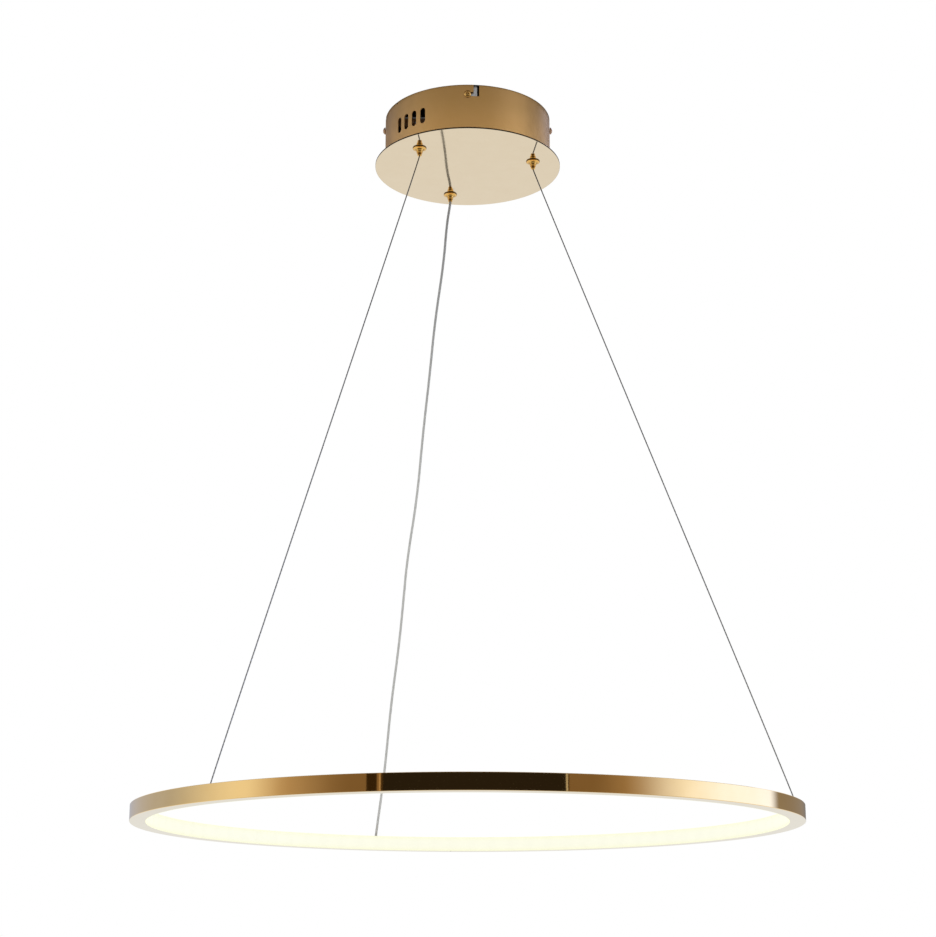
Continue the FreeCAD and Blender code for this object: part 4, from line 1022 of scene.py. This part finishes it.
@dataclass
class Suspension:
    """The two wire ropes, the clear power cord and their ends inside the canopy."""

    cable_radius: float = 0.6 * MM
    cord_radius: float = 1.25 * MM
    stub: float = 2.4 * MM
    lay_length: float = 8.0 * MM
    tail_height: float = -23.0 * MM
    tail_step: float = 16.0
    cord_waves: tuple[tuple[float, float], ...] = (
        (0.035, -0.9), (0.095, 0.6), (0.185, -1.4), (0.27, -0.3), (0.36, -0.2), (0.46, 1.6),
        (0.56, -1.3), (0.63, 0.0), (0.70, 0.7), (0.79, -0.4), (0.90, 1.3))
    span_samples: int = 64
    end_samples: int = 24
    jacket_sides: int = 28
    core_radius: float = 0.42 * MM
    core_offset: float = 0.5 * MM
    core_lay: float = 6.0 * MM
    core_twist: float = 24.0 * MM

    def span(self, line: str) -> Route:
        """The route of a line from its gripper's tip to the ring's top wall.

        The cord keeps slight waves from its coil: each is a share of the way down and the distance
        in millimetres that it stands off to the right, as measured on the photograph.
        """
        end = CORD_ENTRY_AZIMUTH if line == "cord" else LINE_AZIMUTH[line]
        waves = self.cord_waves if line == "cord" else ()
        top = spot(GRIPPER_CIRCLE, LINE_AZIMUTH[line], PLUNGER_TIP_Z)
        low = spot(ANCHOR_CIRCLE, end, RING_TOP_Z)
        between = [tuple(a + share * (b - a) + off * MM * across for a, b, across in
                         zip(top, low, (1.0, 0.0, 0.0))) for share, off in waves]
        return Route((top, (top[0], top[1], top[2] - self.stub), *between,
                      (low[0], low[1], low[2] + self.stub), low))

    def tail(self, line: str) -> Route:
        """The route of a cable's spare end over the plate."""
        azimuth = LINE_AZIMUTH[line]
        points = [spot(GRIPPER_CIRCLE, azimuth, PLUNGER_TIP_Z),
                  spot(GRIPPER_CIRCLE, azimuth, self.tail_height)]
        points += [spot(GRIPPER_CIRCLE, azimuth + n * self.tail_step,
                        self.tail_height + (n % 2) * 2.0 * self.cable_radius) for n in (1, 2, 3)]
        return Route(tuple(points))

    def lead(self) -> Route:
        """The route of the power cord from its gripper into the driver's side."""
        azimuth = LINE_AZIMUTH["cord"]
        side = 20.0 * MM
        top = spot(GRIPPER_CIRCLE, azimuth, PLUNGER_TIP_Z)
        bend = (top[0], top[1], -18.0 * MM)
        reach = bend[1] - side
        entry = -32.0 * MM
        return Route((top, bend, (bend[0], side + 0.48 * reach, bend[2]),
                      (bend[0], side + 0.28 * reach, entry), (bend[0], side, entry)))

    def build(self) -> None:
        """Make every line."""
        for line in ("left", "right"):
            path = self.span(line).samples(self.span_samples)
            piece = Maker.mesh(f"wire_rope_{line}", rope(path, self.cable_radius, 6, self.lay_length))
            self._declare(piece, path, 2 * self.cable_radius, f"cable_{line}", Rope("bright_wire_rope"),
                          "cable_steel", "stiff")
        path = self.span("cord").samples(self.span_samples)
        jacket = Maker.mesh("clear_cord_jacket", self._jacket(path, 420))
        self._declare(jacket, path, 2 * self.cord_radius, "power_cord", ClearJacket("clear_jacket"),
                      "clear_cord", "medium")
        cores = Maker.mesh("clear_cord_cores", self._cores(path))
        # The cores carry a little painted shade towards the canopy.
        Maker.settle(cores, Rope("tinned_cores", (0.80, 0.79, 0.77), (0.45, 0.44, 0.42), painted_shade=0.15),
                     "canopy", "clear_cord")
        self._shorten(cores)
        for line in ("left", "right"):
            path = self.tail(line).samples(self.end_samples)
            piece = Maker.mesh(f"rope_tail_{line}", rope(path, self.cable_radius, 6, self.lay_length))
            Maker.settle(piece, Rope("bright_wire_rope"), "canopy", "cable_steel",
                         f"cable_{line}_tail")
            self._cord(piece, path, 2 * self.cable_radius, "bare", "stiff", "loose")
        path = self.lead().samples(self.end_samples)
        piece = Maker.mesh("cord_lead_jacket", self._jacket(path, 110))
        Maker.settle(piece, ClearJacket("clear_jacket"), "canopy", "clear_cord", "cord_lead")
        self._cord(piece, path, 2 * self.cord_radius, "object", "medium", "loose")
        cores = Maker.mesh("cord_lead_cores", self._cores(path))
        Maker.settle(cores, Rope("tinned_cores"), "canopy", "clear_cord")

    def _jacket(self, path: np.ndarray, stations: int) -> Surface:
        """The cord's round outside."""
        return tube(path, plain(self.cord_radius), stations, self.jacket_sides)

    def _cores(self, path: np.ndarray) -> Surface:
        """Two tinned cores that wind about each other inside the jacket.

        A core's middle is path + 0.5 mm * (cos(k s + p) first + sin(k s + p) second), with s the
        distance along the path and p half a turn apart for the two.
        """
        length = np.linalg.norm(np.diff(path, axis=0), axis=1).sum()
        count = max(80, int(length / (1.2 * MM)))
        line, at = evenly(path, count)
        first, second = frames(line)
        found = []
        for phase in (0.0, math.pi):
            angle = at * (2.0 * math.pi / self.core_twist) + phase
            middle = line + self.core_offset * (np.cos(angle)[:, None] * first
                                                + np.sin(angle)[:, None] * second)
            found.append(rope(middle, self.core_radius, 7, self.core_lay, 5))
        return found[0].plus(found[1])

    def _declare(self, piece: bpy.types.Object, path: np.ndarray, diameter: float, node: str,
                 finish: Finish, slot: str, stiffness: str) -> None:
        """Settle a taut line under its gripper, and give it its own mesh."""
        Maker.settle(piece, finish, "canopy", slot, node)
        self._shorten(piece)
        self._cord(piece, path, diameter, "object", stiffness, "taut")

    @staticmethod
    def _shorten(piece: bpy.types.Object) -> None:
        """Give the line its own copy of its mesh."""
        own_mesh(piece)

    @staticmethod
    def _cord(piece: bpy.types.Object, path: np.ndarray, diameter: float, far_end: str,
              stiffness: str, lay: str) -> None:
        """An empty step: nothing is done with the line."""


@dataclass
class Ring:
    """The gold channel, its diffuser and what holds them."""

    radius: float = 300.0 * MM
    width: float = 15.0 * MM
    wall: float = 1.2 * MM
    rib_setback: float = 1.0 * MM
    rib_width: float = 0.8 * MM
    rib_height: float = 1.2 * MM
    edge: float = 0.4 * MM
    face: float = 1.0 * MM
    tongue: float = 0.8 * MM
    gap: float = 0.1 * MM
    cable_hole: float = 2.0 * MM
    cord_hole: float = 3.2 * MM
    segments: int = 720
    seam: float = -176.5

    def build(self) -> None:
        """Make the channel and the diffuser, and dress the small parts inside."""
        gold = Metal("polished_gold_ring", GOLD, GOLD_DEEP, roughness=0.035, smudge=0.02,
                     lay=Lay.ROUND, line_pitch=0.22 * MM, line_depth=0.0002 * MM,
                     wave_size=70.0 * MM, wave_depth=0.004 * MM, specks=0.01,
                     seam_azimuth=self.seam)
        channel = Maker.mesh("gold_channel", self._channel())
        bores = [(self.cable_hole, LINE_AZIMUTH["left"]), (self.cable_hole, LINE_AZIMUTH["right"]),
                 (self.cord_hole, CORD_ENTRY_AZIMUTH)]
        holes = [drill(radius, RING_TOP_Z - 2 * self.wall, RING_TOP_Z + self.wall,
                       spot(ANCHOR_CIRCLE, azimuth, 0.0), 32) for radius, azimuth in bores]
        Maker.cut(channel, holes[0].plus(*holes[1:]))
        Maker.true_faces(channel)
        Maker.settle(channel, gold, "ring", "polished_gold_aluminium", "ring_profile")
        diffuser = Maker.mesh("opal_diffuser", self._diffuser())
        Maker.settle(diffuser, Opal("opal_diffuser"), "ring", "opal_diffuser", "ring_diffuser")
        brass = Metal("anchor_brass", BRASS, BRASS_DEEP, roughness=0.2,
                      smudge=0.1)
        Maker.dress(brass, "cable_anchor_left", "cable_anchor_right")
        Maker.dress(zinc("pressed_steel"),
                    "cable_end_left", "cable_end_right", "joint_screws")
        Maker.dress(zinc("splice_steel", 0.34, 0.14), "joint_plate")
        Maker.dress(Plastic("grommet_rubber", (0.035, 0.035, 0.036), (0.06, 0.06, 0.06), 0.62),
                    "cord_grommet")
        Maker.dress(Plastic("clamp_nylon", (0.78, 0.77, 0.73), (0.70, 0.69, 0.65), 0.42), "cord_clamp")
        Maker.dress(Plastic("strip_resist", (0.86, 0.86, 0.83), (0.80, 0.80, 0.76), 0.32), "led_strip")
        Maker.dress(Plastic("chip_phosphor", (0.93, 0.78, 0.22), (0.86, 0.68, 0.16), 0.22, coat=0.4),
                    "led_chips")
        Maker.dress(Plastic("core_insulation", (0.60, 0.07, 0.05), (0.48, 0.05, 0.04), 0.35),
                    "strip_leads")

    def _channel(self) -> Surface:
        """The channel's section turned about Z, with rounded outer corners, ribs and lips."""
        outer, inner = self.radius, self.radius - self.width + self.face
        low, high, e = RING_BOTTOM_Z, RING_TOP_Z, self.edge
        roof, floor, skin = high - self.wall, low + self.wall, outer - self.wall
        rib, back = inner + self.rib_setback, inner + self.rib_setback + self.rib_width
        fine = 0.1 * MM
        profile = [
            (inner + fine, low), *arc((outer - e, low + e), e, 270, 360, 6),
            *arc((outer - e, high - e), e, 0, 90, 6), (inner + fine, high), (inner, high - fine),
            (inner, roof), (rib, roof), (rib, roof - self.rib_height), (back, roof - self.rib_height),
            (back, roof), (skin, roof), (skin, floor), (back, floor), (back, floor + self.rib_height),
            (rib, floor + self.rib_height), (rib, floor), (inner, floor), (inner, low + fine),
        ]
        return lathe(profile, self.segments, closed=True)

    def _diffuser(self) -> Surface:
        """A T-shaped section: a face over the channel's lips and a tongue between them.

        The face is softly crowned: its radius grows by 0.12 mm from the middle to the edges.
        """
        face = self.radius - self.width
        back, deep = face + self.face, face + self.face + self.tongue
        low, high, e = RING_BOTTOM_Z, RING_TOP_Z, 0.35 * MM
        floor, roof = low + self.wall + self.gap, high - self.wall - self.gap
        middle, half, crown = (low + high) / 2, (high - low) / 2, 0.12 * MM
        bowed = [(face + crown * float(((z - middle) / half) ** 2), float(z))
                 for z in np.linspace(high - e, low + e, 11)[1:-1]]
        rim = face + crown + e
        return lathe([
            (back, low), (back, floor), (deep, floor), (deep, roof), (back, roof), (back, high),
            *arc((rim, high - e), e, 90, 180, 5), *bowed, *arc((rim, low + e), e, 180, 270, 5),
        ], self.segments, closed=True)


@dataclass
class Canopy:
    """The gold drum with its slots and vents, and the mirror plate that closes it."""

    drum_radius: float = 81.3 * MM
    wall: float = 1.0 * MM
    flange: float = 6.0 * MM
    plate_radius: float = 91.0 * MM
    plate_edge: float = 0.3 * MM
    gripper_hole: float = 4.0 * MM
    segments: int = 480
    screw_z: float = -10.7 * MM
    leg: float = 4.4 * MM
    entry: float = 8.36 * MM
    entry_width: float = 5.4 * MM
    vent: tuple[float, float] = (5.6 * MM, 15.9 * MM)
    vent_z: float = -27.2 * MM
    vent_azimuths: tuple[float, ...] = (-54.0, -46.65, -39.3, -31.95)
    notch: Triple = (-57.6, 3.6 * MM, 1.6 * MM)

    def build(self) -> None:
        """Make the drum and the plate."""
        # The drum carries painted shade that darkens it towards its top; the plate's rim is painted dark as
        # shade.
        satin = Metal("satin_gold_drum", (0.86, 0.505, 0.185), (0.83, 0.48, 0.165), roughness=0.33,
                      smudge=0.05, lay=Lay.ROUND, line_pitch=0.16 * MM, line_depth=0.0006 * MM,
                      wave_size=30.0 * MM, wave_depth=0.006 * MM, specks=0.01,
                      painted_top_shade=(-48.0 * MM, -4.0 * MM, 0.26))
        mirror = Metal("mirror_gold_plate", CHAMPAGNE, CHAMPAGNE_DEEP, roughness=0.05, smudge=0.03,
                       lay=Lay.CLOUD, line_pitch=0.5 * MM, line_depth=0.0002 * MM,
                       wave_size=45.0 * MM, wave_depth=0.005 * MM,
                       shaded_rim_radius=self.plate_radius - 0.05 * MM)
        drum = Maker.mesh("gold_drum", self._drum())
        Maker.cut(drum, self._openings())
        Maker.soften(drum, 0.12 * MM, 2, 40.0)
        Maker.settle(drum, satin, "canopy", "polished_gold_steel", "canopy_drum")
        plate = Maker.mesh("mirror_plate", self._plate())
        holes = [drill(self.gripper_hole, PLATE_BOTTOM_Z - 2.0 * MM, PLATE_TOP_Z + 2.5 * MM,
                       spot(GRIPPER_CIRCLE, azimuth, 0.0), 48) for azimuth in LINE_AZIMUTH.values()]
        Maker.cut(plate, holes[0].plus(*holes[1:]))
        Maker.true_faces(plate)
        Maker.settle(plate, mirror, "canopy", "polished_gold_steel", "canopy_plate")

    def _drum(self) -> Surface:
        """The wall and its inner flange: an L-shaped section turned about Z."""
        outer, inner = self.drum_radius, self.drum_radius - self.wall
        lip = inner - self.flange
        top = PLATE_TOP_Z + self.wall
        return lathe([(lip, PLATE_TOP_Z), (outer, PLATE_TOP_Z), (outer, RIM_Z), (inner, RIM_Z),
                      (inner, top), (lip, top)], self.segments, closed=True)

    def _openings(self) -> Surface:
        """Cutters: four J-slots, eight vents and the rim notch, each pushed through the wall."""
        half, e, w = self.leg / 2, self.entry, self.entry_width / 2
        above = 2.0 * MM
        jay = np.array([(-half, self.screw_z - half), (e + w, self.screw_z - half), (e + w, above),
                        (e - w, above), (e - w, self.screw_z + half), (-half, self.screw_z + half)])
        deep = (self.drum_radius - 6.0 * MM, self.drum_radius + 6.0 * MM)

        def through(outline: np.ndarray, azimuth: float) -> Surface:
            """An outline pushed through the wall at an azimuth."""
            return slab(outline, *deep).moved(turn_z(azimuth) @ FACE_FRONT)

        found = [through(jay, azimuth) for azimuth in SIDE_AZIMUTH.values()]
        hole = pill(*self.vent) + np.array([0.0, self.vent_z])
        found += [through(hole, azimuth + side) for side in (0.0, 180.0) for azimuth in self.vent_azimuths]
        azimuth, width, depth = self.notch
        nick = np.array([(-width / 2, RIM_Z - depth), (width / 2, RIM_Z - depth),
                         (width / 2, above), (-width / 2, above)])
        found.append(through(nick, azimuth))
        return found[0].plus(*found[1:])

    def _plate(self) -> Surface:
        """A disc whose rim is rounded above and below."""
        outer, e = self.plate_radius, self.plate_edge
        rows = [(0.0, PLATE_BOTTOM_Z), (0.35 * outer, PLATE_BOTTOM_Z), (0.8 * outer, PLATE_BOTTOM_Z),
                *arc((outer - e, PLATE_BOTTOM_Z + e), e, 270, 360, 6),
                *arc((outer - e, PLATE_TOP_Z - e), e, 0, 90, 6),
                (0.8 * outer, PLATE_TOP_Z), (0.35 * outer, PLATE_TOP_Z), (0.0, PLATE_TOP_Z)]
        return lathe(rows, self.segments)


@dataclass
class Grippers:
    """The three flared cable grippers with their release plungers."""

    flange: float = 6.7 * MM
    flange_edge: float = 0.9 * MM
    flange_slope: float = 0.15 * MM
    neck: float = 2.9 * MM
    neck_drop: float = 5.2 * MM
    thread: float = 4.0 * MM
    stem: float = 18.0 * MM
    chamber: float = 3.0 * MM
    plunger: float = 2.1 * MM
    clearance: float = 0.05 * MM
    coil_wire: float = 0.4 * MM
    coil_turns: int = 8
    push: float = 1.5 * MM
    play: float = 0.1 * MM
    segments: int = 96

    def build(self) -> None:
        """Make each gripper's body and plunger, and dress what is inside."""
        for line, azimuth in LINE_AZIMUTH.items():
            centre = spot(GRIPPER_CIRCLE, azimuth, 0.0)
            # The flange's rim is painted dark: painted shade at its edge.
            bright = Metal(f"gripper_gold_{line}", (0.78, 0.46, 0.12), (0.66, 0.37, 0.09),
                           roughness=0.09, smudge=0.06, lay=Lay.ROUND, centre=centre,
                           line_pitch=0.12 * MM, line_depth=0.0015 * MM, wave_size=6 * MM,
                           wave_depth=0.002 * MM, shaded_rim_radius=self.flange - 0.25 * MM)
            body = Maker.mesh(f"flared_body_{line}", self._body(centre[:2]))
            Maker.true_faces(body)
            Maker.settle(body, bright, "canopy", "gold_brass", f"gripper_{line}_body")
            held = Suspension.cord_radius if line == "cord" else Suspension.cable_radius
            tip = Maker.mesh(f"release_tip_{line}", self._tip(centre[:2], held + self.play))
            Maker.true_faces(tip)
            Maker.settle(tip, bright, f"{line}_plunger", "gold_brass", f"gripper_{line}_plunger")
        chrome = Metal("ball_steel", (0.78, 0.78, 0.78), (0.70, 0.70, 0.70), roughness=0.08,
                       smudge=0.03)
        wire = Metal("spring_wire", (0.48, 0.48, 0.49), (0.36, 0.36, 0.37), roughness=0.3)
        for line, azimuth in LINE_AZIMUTH.items():
            Maker.dress(chrome, f"gripper_{line}_balls")
            node = f"gripper_{line}_spring"
            low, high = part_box(node)
            coil = Maker.mesh(f"clamp_coil_{line}", self._coil(
                spot(GRIPPER_CIRCLE, azimuth, 0.0)[:2], (high[0] - low[0]) / 2, low[2], high[2]))
            Maker.settle(coil, wire, "canopy", "spring_steel", node)
            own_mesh(coil)
        Maker.dress(zinc("nut_zinc", 0.28, lay=Lay.FLAT),
                    "gripper_nuts")
        Maker.dress(Metal("cap_brass", BRASS, BRASS_DEEP, roughness=0.2),
                    "gripper_caps")

    def _body(self, centre: tuple[float, float]) -> Surface:
        """The flared body: a Bezier flare from the neck out to the flange, then the threaded stem.

        The stem's thread is a row of ridges: its radius falls by 0.25 mm between crests 1 mm apart.
        """
        z = PLATE_BOTTOM_Z
        guide = self.plunger + self.clearance
        spread, deep = self.flange - self.neck, self.neck_drop - self.flange_edge
        low = z - self.neck_drop
        flare = bezier([(self.neck, low + 0.15 * MM), (self.neck + 0.04 * spread, low + 0.75 * deep),
                        (self.neck + 0.30 * spread, z - self.flange_edge + 0.25 * MM),
                        (self.flange - self.flange_slope - 0.3 * MM, z - self.flange_edge)], 14)
        lower = self.flange - self.flange_slope
        rim = [(lower - 0.05 * MM, z - self.flange_edge + 0.05 * MM),
               (lower, z - self.flange_edge + 0.15 * MM), (self.flange, z - 0.18 * MM),
               *arc((self.flange - 0.12 * MM, z - 0.15 * MM), 0.12 * MM, 10, 80, 4)]
        steps = np.linspace(2.0 * MM, self.stem - 0.6 * MM, 62)
        ridges = [(self.thread - 0.125 * MM * (1.0 - math.cos(2 * math.pi * float(h) / MM)), z + float(h))
                  for h in steps]
        profile = [
            (guide, low), (self.neck - 0.15 * MM, low), *flare, *rim, (self.flange - 0.25 * MM, z),
            (self.thread, z), (self.thread, z + 1.6 * MM), *ridges,
            (self.thread - 0.4 * MM, z + self.stem), (self.chamber, z + self.stem),
            (self.chamber, z + 8.0 * MM), (guide, z + 1.0 * MM),
        ]
        return lathe(profile, self.segments, centre, closed=True)

    def _coil(self, centre: tuple[float, float], outer: float, low: float, high: float) -> Surface:
        """A coil spring: a round wire that climbs about its axis, with closed end turns.

        Point (i, j) lies at radius R + r cos a_j and height h(t_i) + r sin a_j, where t_i is the angle
        turned and h climbs one wire in the first and the last turn and evenly between them.
        """
        r = self.coil_wire / 2
        turned = np.linspace(0.0, self.coil_turns, 24 * self.coil_turns + 1)
        climb = np.interp(turned, (0, 1, self.coil_turns - 1, self.coil_turns),
                          (low + r, low + 3 * r, high - 3 * r, high - r))
        angle = np.linspace(0.0, 2.0 * math.pi, 8, endpoint=False)
        reach = (outer - r) + r * np.cos(angle)[None, :]
        around = 2.0 * math.pi * turned[:, None]
        skin = np.stack([centre[0] + reach * np.cos(around), centre[1] + reach * np.sin(around),
                         climb[:, None] + r * np.sin(angle)[None, :]], axis=-1)
        index = np.arange(skin.shape[0] * 8).reshape(-1, 8)
        first, after = index[:-1], index[1:]
        faces = np.stack([first, after, np.roll(after, -1, 1), np.roll(first, -1, 1)], axis=-1)
        faces = faces.reshape(-1, 4).tolist()
        return Surface(skin.reshape(-1, 3), [index[0].tolist(), index[-1][::-1].tolist(), *faces])

    def _tip(self, centre: tuple[float, float], bore: float) -> Surface:
        """The release plunger: a tube with a rounded tip and a head inside the body."""
        z = PLATE_BOTTOM_Z
        low, head = z - 8.0 * MM, z + 4.0 * MM
        r = self.plunger
        profile = [
            (bore, low + 0.15 * MM), *arc((bore + 0.15 * MM, low + 0.15 * MM), 0.15 * MM, 180, 270, 4),
            *arc((r - 0.45 * MM, low + 0.45 * MM), 0.45 * MM, 270, 360, 6), (r, head),
            (r + 0.35 * MM, head), (r + 0.35 * MM, head + 0.6 * MM), (bore, head + 0.6 * MM),
        ]
        return lathe(profile, self.segments, centre, closed=True)


@dataclass
class CeilingFixings:
    """The steel bracket with its nuts, bush and earth screw, and the four dome screws."""

    head_radius: float = 3.5 * MM
    head_height: float = 2.4 * MM
    head_edge: float = 0.5 * MM
    shank: float = 2.0 * MM
    shank_length: float = 8.0 * MM
    seat: float = 81.6 * MM
    height: float = -10.7 * MM
    side_shade: float = 0.55

    def build(self) -> None:
        """Dress the bracket and make the dome screws."""
        plated = Metal("bracket_zinc", (0.70, 0.71, 0.71), (0.58, 0.59, 0.61), roughness=0.3,
                     smudge=0.14, lay=Lay.ACROSS, line_pitch=0.3 * MM, line_depth=0.003 * MM,
                     wave_size=14 * MM)
        Maker.dress(plated, "ceiling_bracket")
        Maker.dress(zinc("nut_steel", smudge=0.14), "bracket_nuts",
                    "earth_screw")
        Maker.dress(Plastic("bush_rubber", (0.03, 0.03, 0.031), (0.055, 0.055, 0.055), 0.62),
                    "entry_grommet")
        for side, azimuth in SIDE_AZIMUTH.items():
            centre = spot(self.seat, azimuth, self.height)
            # Painted shade: the left and right screws get a darker copy of the gold.
            painted_shade = self.side_shade if side in ("left", "right") else 1.0
            gold = Metal(f"screw_gold_{side}", (0.78 * painted_shade, 0.48 * painted_shade, 0.15),
                         (0.64 * painted_shade, 0.36 * painted_shade, 0.10), roughness=0.16,
                         smudge=0.08, centre=centre, line_pitch=0.2 * MM, wave_size=5 * MM,
                         wave_depth=0.002 * MM)
            screw = Maker.mesh(f"dome_screw_{side}", self._screw(azimuth))
            Maker.cut(screw, self._recess(azimuth))
            Maker.soften(screw, 0.06 * MM, 2, 35.0)
            Maker.settle(screw, gold, f"{side}_screw", "gold_brass", f"side_screw_{side}")

    def _screw(self, azimuth: float) -> Surface:
        """A domed head over a shank whose thread is a row of ridges, turned about its own axis."""
        crown = self.head_height - self.head_edge
        ball = (self.head_radius ** 2 + crown ** 2) / (2 * crown)
        reach = math.degrees(math.asin(self.head_radius / ball))
        dome = arc((0.0, self.head_height - ball), ball, 90 - reach, 90, 14)
        steps = np.linspace(-self.shank_length + 0.3 * MM, -0.4 * MM, 50)
        pitch = 0.7 * MM
        ridges = [(self.shank - 0.1 * MM * (1 - math.cos(2 * math.pi * float(h) / pitch)), float(h))
                  for h in steps]
        rows = [(0.0, -self.shank_length), (self.shank - 0.4 * MM, -self.shank_length), *ridges,
                (self.shank, 0.0), (self.head_radius, 0.0), *dome[:-1], (0.0, self.head_height)]
        return lathe(rows, 64).moved(turn_z(azimuth) @ FACE_FRONT, spot(self.seat, azimuth, self.height))

    def _recess(self, azimuth: float) -> Surface:
        """The cross recess as one twelve-sided outline pushed into the head."""
        a, b = 0.4 * MM, 1.6 * MM
        quarter = np.array([(b, -a), (b, a), (a, a)])
        turns = [np.array([[math.cos(t), -math.sin(t)], [math.sin(t), math.cos(t)]])
                 for t in (0.0, math.pi / 2, math.pi, 3 * math.pi / 2)]
        outline = np.vstack([quarter @ turn.T for turn in turns])
        tool = slab(outline, self.head_height - 1.2 * MM, self.head_height + 1.0 * MM)
        return tool.moved(turn_z(azimuth) @ FACE_FRONT, spot(self.seat, azimuth, self.height))


@dataclass
class Electrics:
    """The driver and the terminal block on the plate."""

    def build(self) -> None:
        """Dress the pieces inside the canopy."""
        shell = Plastic("driver_shell", (0.83, 0.83, 0.81), (0.76, 0.76, 0.74), 0.46)
        Maker.dress(shell, "driver_case", "driver_lid")
        Maker.dress(Board("driver_board", (0.10, 0.30, 0.12), (0.16, 0.42, 0.16)), "driver_board")
        Maker.dress(Winding("transformer_winding"), "driver_transformer")
        Maker.dress(Plastic("capacitor_sleeve", (0.04, 0.04, 0.05), (0.07, 0.07, 0.08), 0.3, coat=0.3),
                    "driver_capacitors")
        Maker.dress(zinc("stud_steel"), "canopy_studs", "stud_nuts", "terminal_screws")
        Maker.dress(Plastic("terminal_nylon", (0.84, 0.84, 0.80), (0.74, 0.74, 0.70), 0.4),
                    "terminal_block")
        Maker.dress(Cores("supply_cores"), "mains_leads")


def main() -> None:
    """Build the scene in order."""
    logging.basicConfig(level=logging.INFO, format="%(name)s: %(message)s")
    studio = Studio()
    studio.shoot()
    Suspension().build()
    for part in (Ring(), Canopy(), Grippers(), CeilingFixings(), Electrics()):
        part.build()
    studio.build()
    studio.light()


if __name__ == "__main__":
    main()
